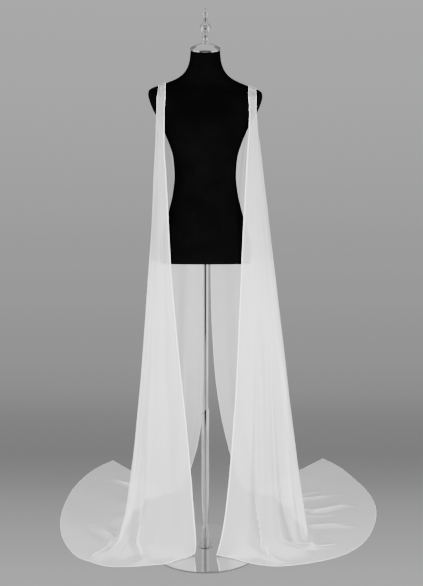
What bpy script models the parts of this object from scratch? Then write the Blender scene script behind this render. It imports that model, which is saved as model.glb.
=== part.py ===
"""An evening stole of two sheer wings, draped on a limbless dress form.

Metres, Z up. The pole stands on the origin, the front faces -Y, and
"left" and "right" are as the viewer in front sees them (-X and +X).
"""
import bmesh
import bpy
import numpy as np
from math import cos, pi, radians, sin, tan

# Finishes: name, colour, roughness, metallic, alpha
JERSEY = ("black_jersey", (0.012, 0.012, 0.013), 0.8, 0.0, 1.0)
CHROME = ("polished_chrome", (0.82, 0.83, 0.84), 0.08, 1.0, 1.0)
CHIFFON = ("white_chiffon", (0.9, 0.9, 0.9), 0.6, 0.0, 0.6)

# Clearances, and the cloth's thickness as a wall
SEAM_GAP = 0.0003
CLOTH = 0.0015
FORM_CLEARANCE = 0.0025

# Stand: a disc, a collar, and a pole that slides in a sleeve
BASE_RADIUS = 0.195
BASE_HEIGHT = 0.006
BASE_EDGE = 0.0015
SLEEVE_RADIUS = 0.0127
SLEEVE_TOP = 0.497
POLE_RADIUS = 0.0098
POLE_OVERLAP = 0.12
POLE_SOCKET = 0.08
SCREW_DROP = 0.012
SCREW_TURN = radians(35)
ROUND_SIDES = 32
TUBE_SIDES = 24
DISC_SIDES = 72
SHARP = radians(40)

# Dress form
FORM_SIDES = 36
FORM_BOTTOM = 1.005
FORM_EDGE = 0.004
TORSO_RINGS = 21
ARMPIT = 1.5
LEAN = 0.02
LEAN_FROM = 1.42
LEAN_TO = 1.56
BUST_HEIGHT = 1.43
BUST_SPACING = 0.075
BUST_SPREAD = 0.065
BUST_RISE = 0.014
NECK_BASE = 1.65
NECK_TOP = 1.7175
NECK_TILT = radians(24)

# Cap and finial on the neck
CAP_RADIUS = 0.0505
CAP_BAND = 0.004
CAP_RISE = 0.0165
CAP_STEPS = 4
FINIAL_SEAT = 0.0145
SMALL_SIDES = 20

# Stole: where its band ends, how its levels round the side, and how it lands on the floor
BAND_END = 1.555
ROUND_SHOULDER = 0.12
LEVEL_SQUARENESS = 3.0
FOOT_SQUARENESS = 2.0
FOOT_RISE = 0.6
TURN_EASE = 1.25
BEND_HEIGHT = 0.06
BEND_SHARE = 0.6
BEND_IN = 0.6
BEND_OUT = 0.35
BASE_MARGIN = 0.014
BASE_SLOPE = 0.08
FOLD_START = 0.35
DRIFT_FROM = 0.93
DRIFT_TO = 1.60
JUST_PAST = 1.00001
SEAM_STEP = 0.0002
DOWN, ACROSS = 0, 1
FIRST, LAST = 0, -1

# Points along and across each stretch of a wing
FRONT_COLUMNS = 21
BACK_COLUMNS = 18
HANGING_HEIGHTS = (1.555, 1.525, 1.495, 1.472, 1.457, 1.449, 1.445, 1.41, 1.36, 1.30, 1.23,
                   1.14, 1.04, 0.93, 0.81, 0.68, 0.55, 0.42, 0.29, 0.17, 0.06)
BEND_ROWS = 6
TRAIN_ROWS = (0.15, 0.32, 0.5, 0.7, 1.0)
TRAIN_TOP = 0.42
BAND_COLUMNS = 7
BAND_ROWS = 15


class Table:
    """Rows of named columns, read smoothly at any value of the first column."""

    def __init__(self, names, *rows):
        self.names = names.split()
        self.rows = np.array(rows, dtype=float)

    def column(self, name):
        return self.rows[:, self.names.index(name)]

    def read(self, name, at):
        """Cubic between the rows, held level past the ends."""
        knots = self.column(self.names[0])
        values = self.column(name)
        at = np.clip(at, knots[0], knots[-1])
        steps = np.diff(knots)
        slopes = self.slopes(knots, values)
        i = np.clip(np.searchsorted(knots, at, side="right") - 1, 0, len(steps) - 1)
        t = (at - knots[i]) / steps[i]
        rise = values[i] * (1 + 2 * t) * (1 - t) ** 2 + values[i + 1] * t ** 2 * (3 - 2 * t)
        tilt = slopes[i] * t * (1 - t) ** 2 - slopes[i + 1] * t ** 2 * (1 - t)
        return rise + tilt * steps[i]

    def slopes(self, knots, values):
        rises = np.diff(values) / np.diff(knots)
        before, after = rises[:-1], rises[1:]
        same_way = before * after > 0
        total = np.where(same_way, before + after, 1.0)
        inner = np.where(same_way, 2 * before * after / total, 0.0)
        return np.concatenate([rises[:1], inner, rises[-1:]])


class Curve(Table):
    """Rows read through a rounder curve, which may swing a little past a row's value."""

    def slopes(self, knots, values):
        return np.gradient(values, knots)


# Sections of the dress form, from its flat bottom to the neck
FORM = Table(
    "height half_width front back squareness centre",
    (1.005, 0.1530, 0.104, 0.113, 2.4, 0.000),
    (1.060, 0.1570, 0.108, 0.124, 2.4, 0.000),
    (1.100, 0.1500, 0.107, 0.122, 2.4, 0.000),
    (1.150, 0.1340, 0.100, 0.108, 2.4, 0.000),
    (1.200, 0.1205, 0.090, 0.091, 2.3, 0.000),
    (1.240, 0.1110, 0.083, 0.080, 2.3, 0.000),
    (1.300, 0.1046, 0.079, 0.074, 2.3, 0.000),
    (1.360, 0.1085, 0.086, 0.082, 2.3, 0.000),
    (1.400, 0.1190, 0.096, 0.093, 2.3, 0.000),
    (1.440, 0.1350, 0.104, 0.102, 2.3, 0.000),
    (1.480, 0.1530, 0.101, 0.104, 2.3, 0.000),
    (1.520, 0.1760, 0.086, 0.096, 2.2, 0.000),
    (1.550, 0.1880, 0.071, 0.081, 2.1, 0.000),
    (1.570, 0.1926, 0.061, 0.069, 2.1, 0.000),
    (1.582, 0.1911, 0.055, 0.062, 2.0, 0.000),
    (1.590, 0.1828, 0.052, 0.058, 2.0, 0.000),
    (1.597, 0.1660, 0.050, 0.055, 2.0, 0.000),
    (1.606, 0.1390, 0.049, 0.053, 2.0, -0.001),
    (1.616, 0.1120, 0.049, 0.052, 2.0, -0.002),
    (1.627, 0.0900, 0.049, 0.051, 2.0, -0.003),
    (1.642, 0.0720, 0.049, 0.050, 2.0, -0.005),
    (1.662, 0.0595, 0.049, 0.049, 2.0, -0.007),
    (1.685, 0.0525, 0.049, 0.049, 2.0, -0.010),
    (1.7175, 0.0490, 0.049, 0.049, 2.0, -0.013),
)

# Turned outlines, from the lowest point up; the screw's runs out from the sleeve
COLLAR = Table(
    "height radius",
    (0.0000, 0.0245),
    (0.0026, 0.0245),
    (0.0040, 0.0232),
    (0.0046, 0.0205),
)
SCREW = Table(
    "height radius",
    (0.0000, 0.0021),
    (0.0021, 0.0021),
    (0.0028, 0.0035),
    (0.0070, 0.0035),
)
FINIAL = Table(
    "height radius",
    (0.000, 0.0140),
    (0.006, 0.0145),
    (0.009, 0.0085),
    (0.012, 0.0072),
    (0.020, 0.0095),
    (0.028, 0.0088),
    (0.033, 0.0072),
    (0.038, 0.0115),
    (0.046, 0.0165),
    (0.055, 0.0180),
    (0.062, 0.0160),
    (0.068, 0.0108),
    (0.072, 0.0078),
    (0.080, 0.0066),
    (0.088, 0.0054),
    (0.092, 0.0070),
    (0.097, 0.0108),
    (0.101, 0.0118),
    (0.104, 0.0080),
    (0.106, 0.0046),
    (0.110, 0.0060),
    (0.114, 0.0063),
    (0.118, 0.0044),
    (0.120, 0.0022),
)

# Each level of a hanging wing runs from its front edge round the side to its back edge
LEVEL_NAMES = "height front_x front_y side_x front_side_y back_side_y back_x back_y"
# The hem that each rib of the wing runs out to, how far it stays above the floor, and how
# far along the floor its bend reaches
HEM_NAMES = "turn x y lift bend"
# turn: 0 front edge, 1 side, 2 back edge; drift: how far the fold's turn moves in the bend;
# fade to end: drops over which it dies away, where 1 is the bend's top, 2 its foot, 3 the hem
FOLD_NAMES = "turn drift width depth top fade end"

LEFT_LEVELS = Table(
    LEVEL_NAMES,
    (0.000, 0.0330, -0.085, 0.3080, 0.020, 0.020, 0.110, 0.455),
    (0.060, 0.0315, -0.098, 0.2970, 0.020, 0.020, 0.095, 0.420),
    (0.150, 0.0372, -0.108, 0.2720, 0.025, 0.025, 0.065, 0.350),
    (0.300, 0.0483, -0.111, 0.2550, 0.035, 0.035, 0.028, 0.270),
    (0.450, 0.0612, -0.109, 0.2420, 0.030, 0.030, 0.010, 0.212),
    (0.600, 0.0768, -0.107, 0.2265, 0.025, 0.025, 0.008, 0.178),
    (0.850, 0.1010, -0.103, 0.2055, 0.015, 0.015, 0.008, 0.155),
    (1.000, 0.1130, -0.100, 0.1935, 0.010, 0.010, 0.009, 0.146),
    (1.100, 0.1188, -0.096, 0.1845, 0.008, 0.008, 0.011, 0.142),
    (1.200, 0.1232, -0.086, 0.1785, 0.005, 0.005, 0.018, 0.134),
    (1.300, 0.1288, -0.076, 0.1740, 0.005, 0.005, 0.036, 0.124),
    (1.400, 0.1345, -0.068, 0.1680, 0.005, 0.005, 0.068, 0.109),
    (1.445, 0.1348, -0.064, 0.1660, 0.004, 0.004, 0.088, 0.095),
    (1.449, 0.1348, -0.064, 0.1655, -0.013, 0.019, 0.090, 0.093),
    (1.457, 0.1348, -0.063, 0.1642, -0.025, 0.030, 0.094, 0.090),
    (1.472, 0.1347, -0.062, 0.1625, -0.035, 0.040, 0.101, 0.084),
    (1.495, 0.1345, -0.061, 0.1615, -0.041, 0.046, 0.110, 0.076),
    (1.525, 0.1338, -0.058, 0.1602, -0.044, 0.048, 0.120, 0.065),
    (1.555, 0.1315, -0.054, 0.1598, -0.042, 0.046, 0.128, 0.056),
)
RIGHT_LEVELS = Table(
    LEVEL_NAMES,
    (0.000, 0.0380, -0.088, 0.3600, 0.020, 0.020, 0.175, 0.470),
    (0.060, 0.0500, -0.099, 0.3520, 0.020, 0.020, 0.155, 0.425),
    (0.150, 0.0650, -0.108, 0.3380, 0.025, 0.025, 0.125, 0.350),
    (0.300, 0.0808, -0.111, 0.3165, 0.035, 0.035, 0.085, 0.270),
    (0.450, 0.0920, -0.109, 0.3015, 0.030, 0.030, 0.055, 0.212),
    (0.600, 0.1018, -0.107, 0.2860, 0.025, 0.025, 0.036, 0.178),
    (0.850, 0.1125, -0.103, 0.2545, 0.015, 0.015, 0.022, 0.155),
    (1.000, 0.1190, -0.100, 0.2355, 0.010, 0.010, 0.020, 0.146),
    (1.100, 0.1232, -0.096, 0.2220, 0.008, 0.008, 0.021, 0.142),
    (1.200, 0.1280, -0.086, 0.2090, 0.005, 0.005, 0.028, 0.134),
    (1.300, 0.1332, -0.076, 0.1965, 0.005, 0.005, 0.046, 0.124),
    (1.400, 0.1395, -0.068, 0.1840, 0.005, 0.005, 0.078, 0.109),
    (1.445, 0.1435, -0.064, 0.1762, 0.004, 0.004, 0.098, 0.095),
    (1.449, 0.1435, -0.064, 0.1756, -0.013, 0.019, 0.100, 0.093),
    (1.457, 0.1435, -0.063, 0.1740, -0.025, 0.030, 0.104, 0.090),
    (1.472, 0.1440, -0.062, 0.1712, -0.035, 0.040, 0.111, 0.084),
    (1.495, 0.1445, -0.061, 0.1692, -0.041, 0.046, 0.120, 0.076),
    (1.525, 0.1440, -0.058, 0.1675, -0.044, 0.048, 0.130, 0.065),
    (1.555, 0.1415, -0.054, 0.1685, -0.042, 0.046, 0.137, 0.056),
)
LEFT_HEM = Curve(
    HEM_NAMES,
    (0.00, 0.0445, -0.068, 0.002, 0.050),
    (0.05, 0.0590, -0.088, 0.001, 0.050),
    (0.12, 0.0880, -0.110, 0.001, 0.050),
    (0.20, 0.1230, -0.138, 0.001, 0.050),
    (0.30, 0.1700, -0.146, 0.000, 0.060),
    (0.40, 0.2240, -0.146, 0.000, 0.070),
    (0.60, 0.3300, -0.143, 0.000, 0.090),
    (0.75, 0.3900, -0.112, 0.000, 0.090),
    (0.90, 0.4400, -0.075, 0.000, 0.090),
    (1.00, 0.4740, -0.026, 0.000, 0.090),
    (1.10, 0.5170, 0.062, 0.000, 0.110),
    (1.20, 0.5510, 0.175, 0.000, 0.140),
    (1.30, 0.5720, 0.300, 0.000, 0.170),
    (1.40, 0.5800, 0.430, 0.000, 0.200),
    (1.60, 0.5700, 0.640, 0.000, 0.220),
    (1.80, 0.5250, 0.825, 0.000, 0.220),
    (2.00, 0.4570, 0.955, 0.000, 0.200),
)
RIGHT_HEM = Curve(
    HEM_NAMES,
    (0.00, 0.0364, -0.075, 0.002, 0.050),
    (0.10, 0.0775, -0.090, 0.001, 0.050),
    (0.20, 0.1300, -0.126, 0.001, 0.050),
    (0.30, 0.1850, -0.144, 0.000, 0.060),
    (0.40, 0.2600, -0.142, 0.000, 0.070),
    (0.60, 0.4240, -0.093, 0.000, 0.070),
    (0.80, 0.5350, -0.008, 0.000, 0.035),
    (0.90, 0.5790, 0.050, 0.000, 0.035),
    (1.00, 0.6190, 0.125, 0.000, 0.035),
    (1.10, 0.6570, 0.220, 0.000, 0.060),
    (1.20, 0.6880, 0.330, 0.000, 0.100),
    (1.30, 0.7010, 0.430, 0.000, 0.140),
    (1.40, 0.7020, 0.525, 0.000, 0.180),
    (1.60, 0.6750, 0.715, 0.000, 0.220),
    (1.80, 0.6420, 0.860, 0.000, 0.220),
    (2.00, 0.5860, 0.985, 0.000, 0.200),
)
LEFT_FOLDS = Table(
    FOLD_NAMES,
    (0.14, 0.00, 0.07, 0.006, 1.10, 2.0, 2.3),
    (0.30, 0.00, 0.06, -0.008, 0.95, 2.0, 2.3),
    (0.50, -0.10, 0.05, 0.012, 0.80, 2.0, 2.8),
    (0.63, -0.12, 0.05, -0.024, 0.55, 1.4, 2.2),
    (0.75, 0.00, 0.05, 0.014, 0.50, 2.0, 2.9),
    (0.88, 0.00, 0.05, -0.010, 1.20, 2.0, 2.5),
    (1.14, 0.00, 0.06, -0.014, 1.20, 1.0, 2.0),
    (1.24, 0.00, 0.05, 0.014, 0.45, 1.0, 2.0),
    (1.36, 0.00, 0.06, -0.014, 0.90, 1.0, 2.0),
    (1.48, 0.00, 0.05, 0.014, 1.00, 1.0, 2.0),
    (1.62, 0.00, 0.06, -0.014, 1.10, 1.0, 2.0),
    (1.74, 0.00, 0.05, 0.012, 0.90, 1.0, 2.0),
    (1.87, 0.00, 0.05, -0.010, 0.80, 1.0, 2.0),
)
RIGHT_FOLDS = Table(
    FOLD_NAMES,
    (0.12, 0.00, 0.06, 0.006, 1.10, 2.0, 2.3),
    (0.26, 0.06, 0.05, -0.010, 0.90, 2.0, 2.4),
    (0.36, 0.04, 0.04, 0.016, 0.80, 1.6, 2.6),
    (0.52, 0.24, 0.05, -0.022, 0.85, 1.2, 2.2),
    (0.60, 0.235, 0.05, 0.020, 0.90, 1.2, 2.6),
    (0.76, 0.16, 0.06, -0.012, 1.20, 1.0, 2.2),
    (0.90, 0.00, 0.05, 0.010, 0.60, 1.0, 1.6),
    (1.08, 0.00, 0.04, 0.012, 0.50, 1.0, 2.0),
    (1.17, 0.00, 0.05, -0.014, 1.20, 1.0, 2.0),
    (1.27, 0.00, 0.04, 0.014, 0.50, 1.0, 2.2),
    (1.40, 0.00, 0.06, -0.014, 1.00, 1.0, 2.0),
    (1.53, 0.00, 0.05, 0.014, 1.00, 1.0, 2.0),
    (1.68, 0.00, 0.06, -0.012, 1.10, 1.0, 2.0),
    (1.82, 0.00, 0.05, 0.010, 0.90, 1.0, 2.0),
)

WINGS = {
    "left": {"side": -1, "levels": LEFT_LEVELS, "hem": LEFT_HEM, "folds": LEFT_FOLDS,
             "top_inner": 0.132, "top_outer": 0.154},
    "right": {"side": 1, "levels": RIGHT_LEVELS, "hem": RIGHT_HEM, "folds": RIGHT_FOLDS,
              "top_inner": 0.144, "top_outer": 0.169},
}


def smooth(value):
    """0 to 1 with level ends."""
    value = np.clip(value, 0.0, 1.0)
    return value * value * (3 - 2 * value)


def mix(start, end, share):
    return start + (end - start) * share


# Dress form

def lean_at(height):
    """Rise of the shoulders across the form, none below the bust."""
    return LEAN * smooth((height - LEAN_FROM) / (LEAN_TO - LEAN_FROM))


def bust(x, level):
    rise = np.exp(-((level - BUST_HEIGHT) / BUST_SPREAD) ** 2)
    return BUST_RISE * rise * np.exp(-((np.abs(x) - BUST_SPACING) / BUST_SPREAD) ** 2)


def form_depth(x, height, behind, margin=0.0):
    """How far the form, with a margin round it, stands from the middle plane at x."""
    level = height + lean_at(height) * x
    power = FORM.read("squareness", level)
    across = np.abs(x) / (FORM.read("half_width", level) + margin)
    depth = np.where(behind, FORM.read("back", level), FORM.read("front", level)) + margin
    depth = depth * np.clip(1 - across ** power, 0, 1) ** (1 / power)
    depth = depth + np.where(behind, 1, -1) * FORM.read("centre", level)
    depth = depth + np.where(behind, 0, bust(x, level))
    return np.where(across < 1, depth, -1.0)


def form_ring(level):
    """One section of the form as a loop of points, leaning with the shoulders and the neck."""
    angle = np.arange(FORM_SIDES) * 2 * pi / FORM_SIDES
    across, along = np.cos(angle), np.sin(angle)
    power = FORM.read("squareness", level)
    ray = (np.abs(across) ** power + np.abs(along) ** power) ** (-1 / power)
    x = FORM.read("half_width", level) * across * ray
    depth = np.where(along > 0, FORM.read("back", level), FORM.read("front", level))
    y = depth * along * ray - np.where(along < 0, bust(x, level), 0) * np.sqrt(np.abs(along))
    neck = smooth((level - NECK_BASE) / (NECK_TOP - NECK_BASE))
    height = level - lean_at(level) * (1 - neck) * x + tan(NECK_TILT) * neck * y
    return np.stack([x, y + FORM.read("centre", level), height], axis=1)


# Meshes

def material(name, colour, roughness, metallic, alpha):
    paint = bpy.data.materials.new(name)
    paint.use_nodes = True
    shader = paint.node_tree.nodes["Principled BSDF"]
    shader.inputs["Base Color"].default_value = (*colour, 1.0)
    shader.inputs["Roughness"].default_value = roughness
    shader.inputs["Metallic"].default_value = metallic
    shader.inputs["Alpha"].default_value = alpha
    return paint


def add_object(name, points, faces, finish, place=(0, 0, 0), turn=(0, 0, 0)):
    mesh = bpy.data.meshes.new(name)
    mesh.from_pydata([tuple(map(float, point)) for point in points], [], faces)
    work = bmesh.new()
    work.from_mesh(mesh)
    bmesh.ops.recalc_face_normals(work, faces=work.faces)
    work.to_mesh(mesh)
    work.free()
    mesh.shade_smooth()
    mesh.set_sharp_from_angle(angle=SHARP)
    mesh.materials.append(material(*finish))
    thing = bpy.data.objects.new(name, mesh)
    thing.location = place
    thing.rotation_euler = turn
    bpy.context.collection.objects.link(thing)
    return thing


def skin(name, loops, finish, **placing):
    """A closed body over a stack of loops, which ends in single points or where it began."""
    closed = loops[0] is loops[-1]
    stack = loops[:-1] if closed else loops
    starts = np.cumsum([0] + [len(loop) for loop in stack])
    faces = []
    for low in range(len(loops) - 1):
        high = (low + 1) % len(stack)
        for i in range(max(len(stack[low]), len(stack[high]))):
            corners = [(low, i), (low, i + 1), (high, i + 1), (high, i)]
            face = [int(starts[k] + step % len(stack[k])) for k, step in corners]
            faces.append(list(dict.fromkeys(face)))
    points = [point for loop in stack for point in loop]
    return add_object(name, points, faces, finish, **placing)


def circle(radius, height, sides):
    angles = [2 * pi * i / sides for i in range(sides)]
    return [(radius * cos(angle), radius * sin(angle), height) for angle in angles]


def turned(name, outline, finish, sides=ROUND_SIDES, **placing):
    """A body of revolution about Z from (radius, height) pairs, closed on the axis."""
    loops = [circle(radius, height, sides) for radius, height in outline]
    start, end = (0, 0, outline[0][1]), (0, 0, outline[-1][1])
    return skin(name, [[start], *loops, [end]], finish, **placing)


def turned_ring(name, outline, finish, sides=ROUND_SIDES):
    """A body of revolution with a hole through it, from a closed outline."""
    loops = [circle(radius, height, sides) for radius, height in outline]
    return skin(name, [*loops, loops[0]], finish)


def wall(name, outer, inner, finish):
    """A closed cloth wall between two grids of points."""
    rows, columns = outer.shape[:2]
    points = np.concatenate([outer.reshape(-1, 3), inner.reshape(-1, 3)])
    grid = np.arange(rows * columns).reshape(rows, columns)
    under = grid + rows * columns
    faces = []
    for r in range(rows - 1):
        for c in range(columns - 1):
            faces.append((grid[r, c], grid[r, c + 1], grid[r + 1, c + 1], grid[r + 1, c]))
            faces.append((under[r, c], under[r + 1, c], under[r + 1, c + 1], under[r, c + 1]))
    rim = [*grid[0, :-1], *grid[:-1, -1], *grid[-1, :0:-1], *grid[:0:-1, 0]]
    for here, there in zip(rim, rim[1:] + rim[:1]):
        faces.append((here, here + rows * columns, there + rows * columns, there))
    faces = [tuple(int(corner) for corner in face) for face in faces]
    return add_object(name, points, faces, finish)


# Cloth surface

def ground(x, y):
    """Height of what the cloth lies on: the floor, or the base disc and a slope off its edge."""
    out = (np.hypot(x, y) - BASE_RADIUS - BASE_MARGIN) / BASE_SLOPE
    return (BASE_HEIGHT + SEAM_GAP) * (1 - smooth(out))


def hanging(levels, turn, height):
    """The wing above the bend: x outwards, y back."""
    from_front = turn <= 1
    swing = np.where(from_front, turn, 2 - turn) ** TURN_EASE * pi / 2
    foot = mix(FOOT_SQUARENESS, LEVEL_SQUARENESS, smooth(height / FOOT_RISE))
    power = np.where(from_front, LEVEL_SQUARENESS, foot)
    ray = (np.cos(swing) ** power + np.sin(swing) ** power) ** (-1 / power)
    front = [levels.read(name, height) for name in ("front_x", "front_y", "front_side_y")]
    back = [levels.read(name, height) for name in ("back_x", "back_y", "back_side_y")]
    edge_x, edge_y, side_y = np.where(from_front, front, back)
    x = mix(edge_x, levels.read("side_x", height), np.sin(swing) * ray)
    y = mix(side_y, edge_y, np.cos(swing) * ray)
    return np.stack([x, y, height], axis=-1)


def clear_of_form(points, side):
    """Moves points forwards or back until the form has its clearance."""
    x, y, z = np.moveaxis(points, -1, 0)
    behind = y > 0
    margin = FORM_CLEARANCE + CLOTH / 2
    room = form_depth(side * x, z, behind, margin)
    inside = (room > 0) & (z > FORM_BOTTOM - 2 * margin)
    pushed = np.where(behind, np.maximum(y, room), np.minimum(y, -room))
    return np.stack([x, np.where(inside, pushed, y), z], axis=-1)


def landing(wing, turn, share):
    """The bend onto the floor, share 0 at its top and 1 where the cloth lies."""
    lift = wing["hem"].read("lift", turn)
    reach = wing["hem"].read("bend", turn)[..., None]
    start = hanging(wing["levels"], turn, np.full_like(turn, BEND_HEIGHT))
    foot = hanging(wing["levels"], turn, np.zeros_like(turn))
    foot[..., 2] = lift
    hem = np.stack([wing["hem"].read("x", turn), wing["hem"].read("y", turn), lift], axis=-1)
    length = np.linalg.norm(hem - foot, axis=-1, keepdims=True)
    end = foot + (hem - foot) / length * np.minimum(reach, BEND_SHARE * length)
    lead_in = mix(start, foot, BEND_IN)
    lead_out = mix(foot, end, BEND_OUT)
    w = share[..., None]
    return ((1 - w) ** 3 * start + 3 * (1 - w) ** 2 * w * lead_in
            + 3 * (1 - w) * w ** 2 * lead_out + w ** 3 * end), end, hem


def surface_normals(points, seam=None):
    """Unit normals of a grid; at the seam column its two sides share one where they meet."""
    down = np.gradient(points, axis=0)
    across = np.gradient(points, axis=1)
    if seam:
        before, front, back, after = (points[:, seam + i] for i in (-2, -1, 0, 1))
        apart = np.linalg.norm(back - front, axis=-1, keepdims=True) > CLOTH
        across[:, seam - 1] = np.where(apart, front - before, after - before)
        across[:, seam] = np.where(apart, after - back, after - before)
    normal = np.cross(down, across)
    return normal / np.linalg.norm(normal, axis=-1, keepdims=True)


def wing_surface(wing, turns, drops):
    """Middle surface of a wing; drop is 0 to 1 hanging, to 2 in the bend, to 3 on the floor."""
    turn, drop = np.meshgrid(turns, drops)
    seam = int(np.sum(turns <= 1))
    height = mix(BAND_END, BEND_HEIGHT, np.clip(drop, 0, 1))
    hung = hanging(wing["levels"], turn, height)
    bent, end, hem = landing(wing, turn, np.clip(drop - 1, 0, 1))
    laid = mix(end, hem, np.clip(drop - 2, 0, 1)[..., None])
    points = np.where(drop[..., None] <= 1, hung, np.where(drop[..., None] <= 2, bent, laid))
    points = points + surface_normals(points, seam) * folds(wing["folds"], turn, drop, height)
    points = clear_of_form(points, wing["side"])
    low = np.clip(1 - points[..., 2] / BEND_HEIGHT, 0, 1)
    rest = ground(points[..., 0], points[..., 1]) + CLOTH / 2
    points[..., 2] = np.maximum(points[..., 2] + rest * low, rest)
    mirror = (wing["side"], 1, 1)
    return points * mirror, surface_normals(points, seam) * mirror, seam


def folds(table, turn, drop, height):
    """How far each point stands out of the plain surface."""
    out = np.zeros_like(turn)
    drifted = smooth((drop - DRIFT_FROM) / (DRIFT_TO - DRIFT_FROM))
    for centre, drift, width, depth, top, fade, end in table.rows:
        started = smooth((top - height) / FOLD_START)
        over_floor = 1 - smooth((drop - fade) / (end - fade))
        away = turn - centre - drift * drifted
        out += depth * started * over_floor * np.exp(-(away / width) ** 2)
    return out[..., None]


def cloth_wall(name, middle, normal):
    """The two faces of the cloth, half its thickness either way, never under what it lies on."""
    outer = middle + normal * CLOTH / 2
    inner = middle - normal * CLOTH / 2
    for face, least in ((outer, CLOTH), (inner, 0.0)):
        rest = ground(face[..., 0], face[..., 1]) + least
        face[..., 2] = np.maximum(face[..., 2], rest)
    return wall(name, outer, inner, CHIFFON)


def step_back(grid, *borders):
    """Draws borders of a grid back from the pieces they meet, each given as axis and end."""
    grid = grid.copy()
    for axis, end in borders:
        lines = np.moveaxis(grid, axis, 0)
        towards = lines[1 if end == FIRST else -2] - lines[end]
        length = np.linalg.norm(towards, axis=-1, keepdims=True)
        lines[end] += towards / length * SEAM_STEP
    return grid


# Pieces of the stole

def shoulder_band(wing):
    """The gathered band over the shoulder, narrowest on top, from its front end to its back."""
    levels = wing["levels"]
    rows = []
    for angle in np.linspace(0, pi, BAND_ROWS):
        end = "front_x" if angle < pi / 2 else "back_x"
        inner_x = mix(levels.read(end, BAND_END), wing["top_inner"], sin(angle))
        outer_x = mix(levels.read("side_x", BAND_END), wing["top_outer"], sin(angle))
        across = np.linspace(inner_x, outer_x, BAND_COLUMNS)
        rows.append([on_shoulder(wing["side"], x, angle) for x in across])
    return np.array(rows)


def on_shoulder(side, x, angle):
    """Halves the way out of the shoulder until it finds the surface, then clears it."""
    forward, up = -cos(angle), sin(angle)
    inside, outside = 0.0, ROUND_SHOULDER
    while outside - inside > CLOTH / 100:
        reach = (inside + outside) / 2
        y, z = forward * reach, BAND_END + up * reach
        if abs(y) < form_depth(side * x, z, y > 0):
            inside = reach
        else:
            outside = reach
    reach = outside + FORM_CLEARANCE + CLOTH / 2
    return (side * x, forward * reach, BAND_END + up * reach)


def stole_wing(name, wing):
    hanging_drops = (BAND_END - np.array(HANGING_HEIGHTS)) / (BAND_END - BEND_HEIGHT)
    drops = np.concatenate([hanging_drops, np.linspace(1, 2, BEND_ROWS)[1:],
                            2 + np.array(TRAIN_ROWS)])
    turns = np.concatenate([np.linspace(0, 1, FRONT_COLUMNS),
                            np.linspace(JUST_PAST, 2, BACK_COLUMNS)])
    middle, normal, seam = wing_surface(wing, turns, drops)
    low = HANGING_HEIGHTS.index(TRAIN_TOP)
    front = step_back(middle[:, :seam], (DOWN, FIRST), (ACROSS, LAST))
    back = step_back(middle[:low + 1, seam:], (DOWN, FIRST), (ACROSS, FIRST), (DOWN, LAST))
    train = step_back(middle[low:, seam:], (DOWN, FIRST), (ACROSS, FIRST))
    band = shoulder_band(wing)
    cloth_wall(name + "_front", front, normal[:, :seam])
    cloth_wall(name + "_back", back, normal[:low + 1, seam:])
    cloth_wall(name + "_train", train, normal[low:, seam:])
    cloth_wall(name + "_shoulder", band, surface_normals(band))


# Pieces of the form and its stand

def form_torso():
    """The padded body, whole but for the pole's socket in its flat bottom."""
    socket = POLE_RADIUS + SEAM_GAP
    ceiling = FORM_BOTTOM + POLE_SOCKET
    rounded = (1 - FORM_EDGE / FORM.read("half_width", FORM_BOTTOM),
               1 - FORM_EDGE / FORM.read("front", FORM_BOTTOM), 1)
    torso = np.linspace(FORM_BOTTOM + FORM_EDGE, ARMPIT, TORSO_RINGS)
    shoulders = FORM.column("height")[FORM.column("height") > ARMPIT]
    crown = form_ring(NECK_TOP)
    skin("form_torso", [
        [(0, 0, ceiling)],
        circle(socket, ceiling, FORM_SIDES),
        circle(socket, FORM_BOTTOM, FORM_SIDES),
        form_ring(FORM_BOTTOM) * rounded,
        *(form_ring(level) for level in torso),
        *(form_ring(level) for level in shoulders),
        [crown.mean(axis=0)],
    ], JERSEY)


def neck_cap():
    """A domed lid that tilts with the neck and levels out into the finial's seat."""
    _, centre_y, neck = form_ring(NECK_TOP).mean(axis=0)
    base = neck + SEAM_GAP / cos(NECK_TILT)
    shape = [(CAP_RADIUS, 0, 1), (CAP_RADIUS, CAP_BAND, 1)]
    for step in range(1, CAP_STEPS + 1):
        share = step / CAP_STEPS
        radius = mix(CAP_RADIUS, FINIAL_SEAT, 1 - cos(share * pi / 2))
        rise = mix(CAP_BAND, CAP_RISE, sin(share * pi / 2))
        shape.append((radius, rise, 1 - smooth(share)))
    loops = []
    for radius, rise, tilted in shape:
        slope = tan(NECK_TILT) * tilted
        loops.append([(x, centre_y + y, z + slope * y)
                      for x, y, z in circle(radius, base + rise, FORM_SIDES)])
    top = base + CAP_RISE
    skin("neck_cap", [[(0, centre_y, base)], *loops, [(0, centre_y, top)]], CHROME)
    return (0, centre_y, top + SEAM_GAP)


def finial(seat):
    outline = list(zip(FINIAL.column("radius"), FINIAL.column("height")))
    turned("finial", outline, CHROME, sides=SMALL_SIDES, place=seat)


def base_disc():
    inner, low, high = BASE_RADIUS - BASE_EDGE, BASE_EDGE, BASE_HEIGHT - BASE_EDGE
    outline = [(inner, 0), (BASE_RADIUS, low), (BASE_RADIUS, high), (inner, BASE_HEIGHT)]
    turned("base_disc", outline, CHROME, sides=DISC_SIDES)


def base_collar():
    bore = SLEEVE_RADIUS + SEAM_GAP
    foot = BASE_HEIGHT + SEAM_GAP
    heights = foot + COLLAR.column("height")
    outside = list(zip(COLLAR.column("radius"), heights))
    turned_ring("base_collar", [(bore, foot), *outside, (bore, heights[-1])], CHROME)


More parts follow.
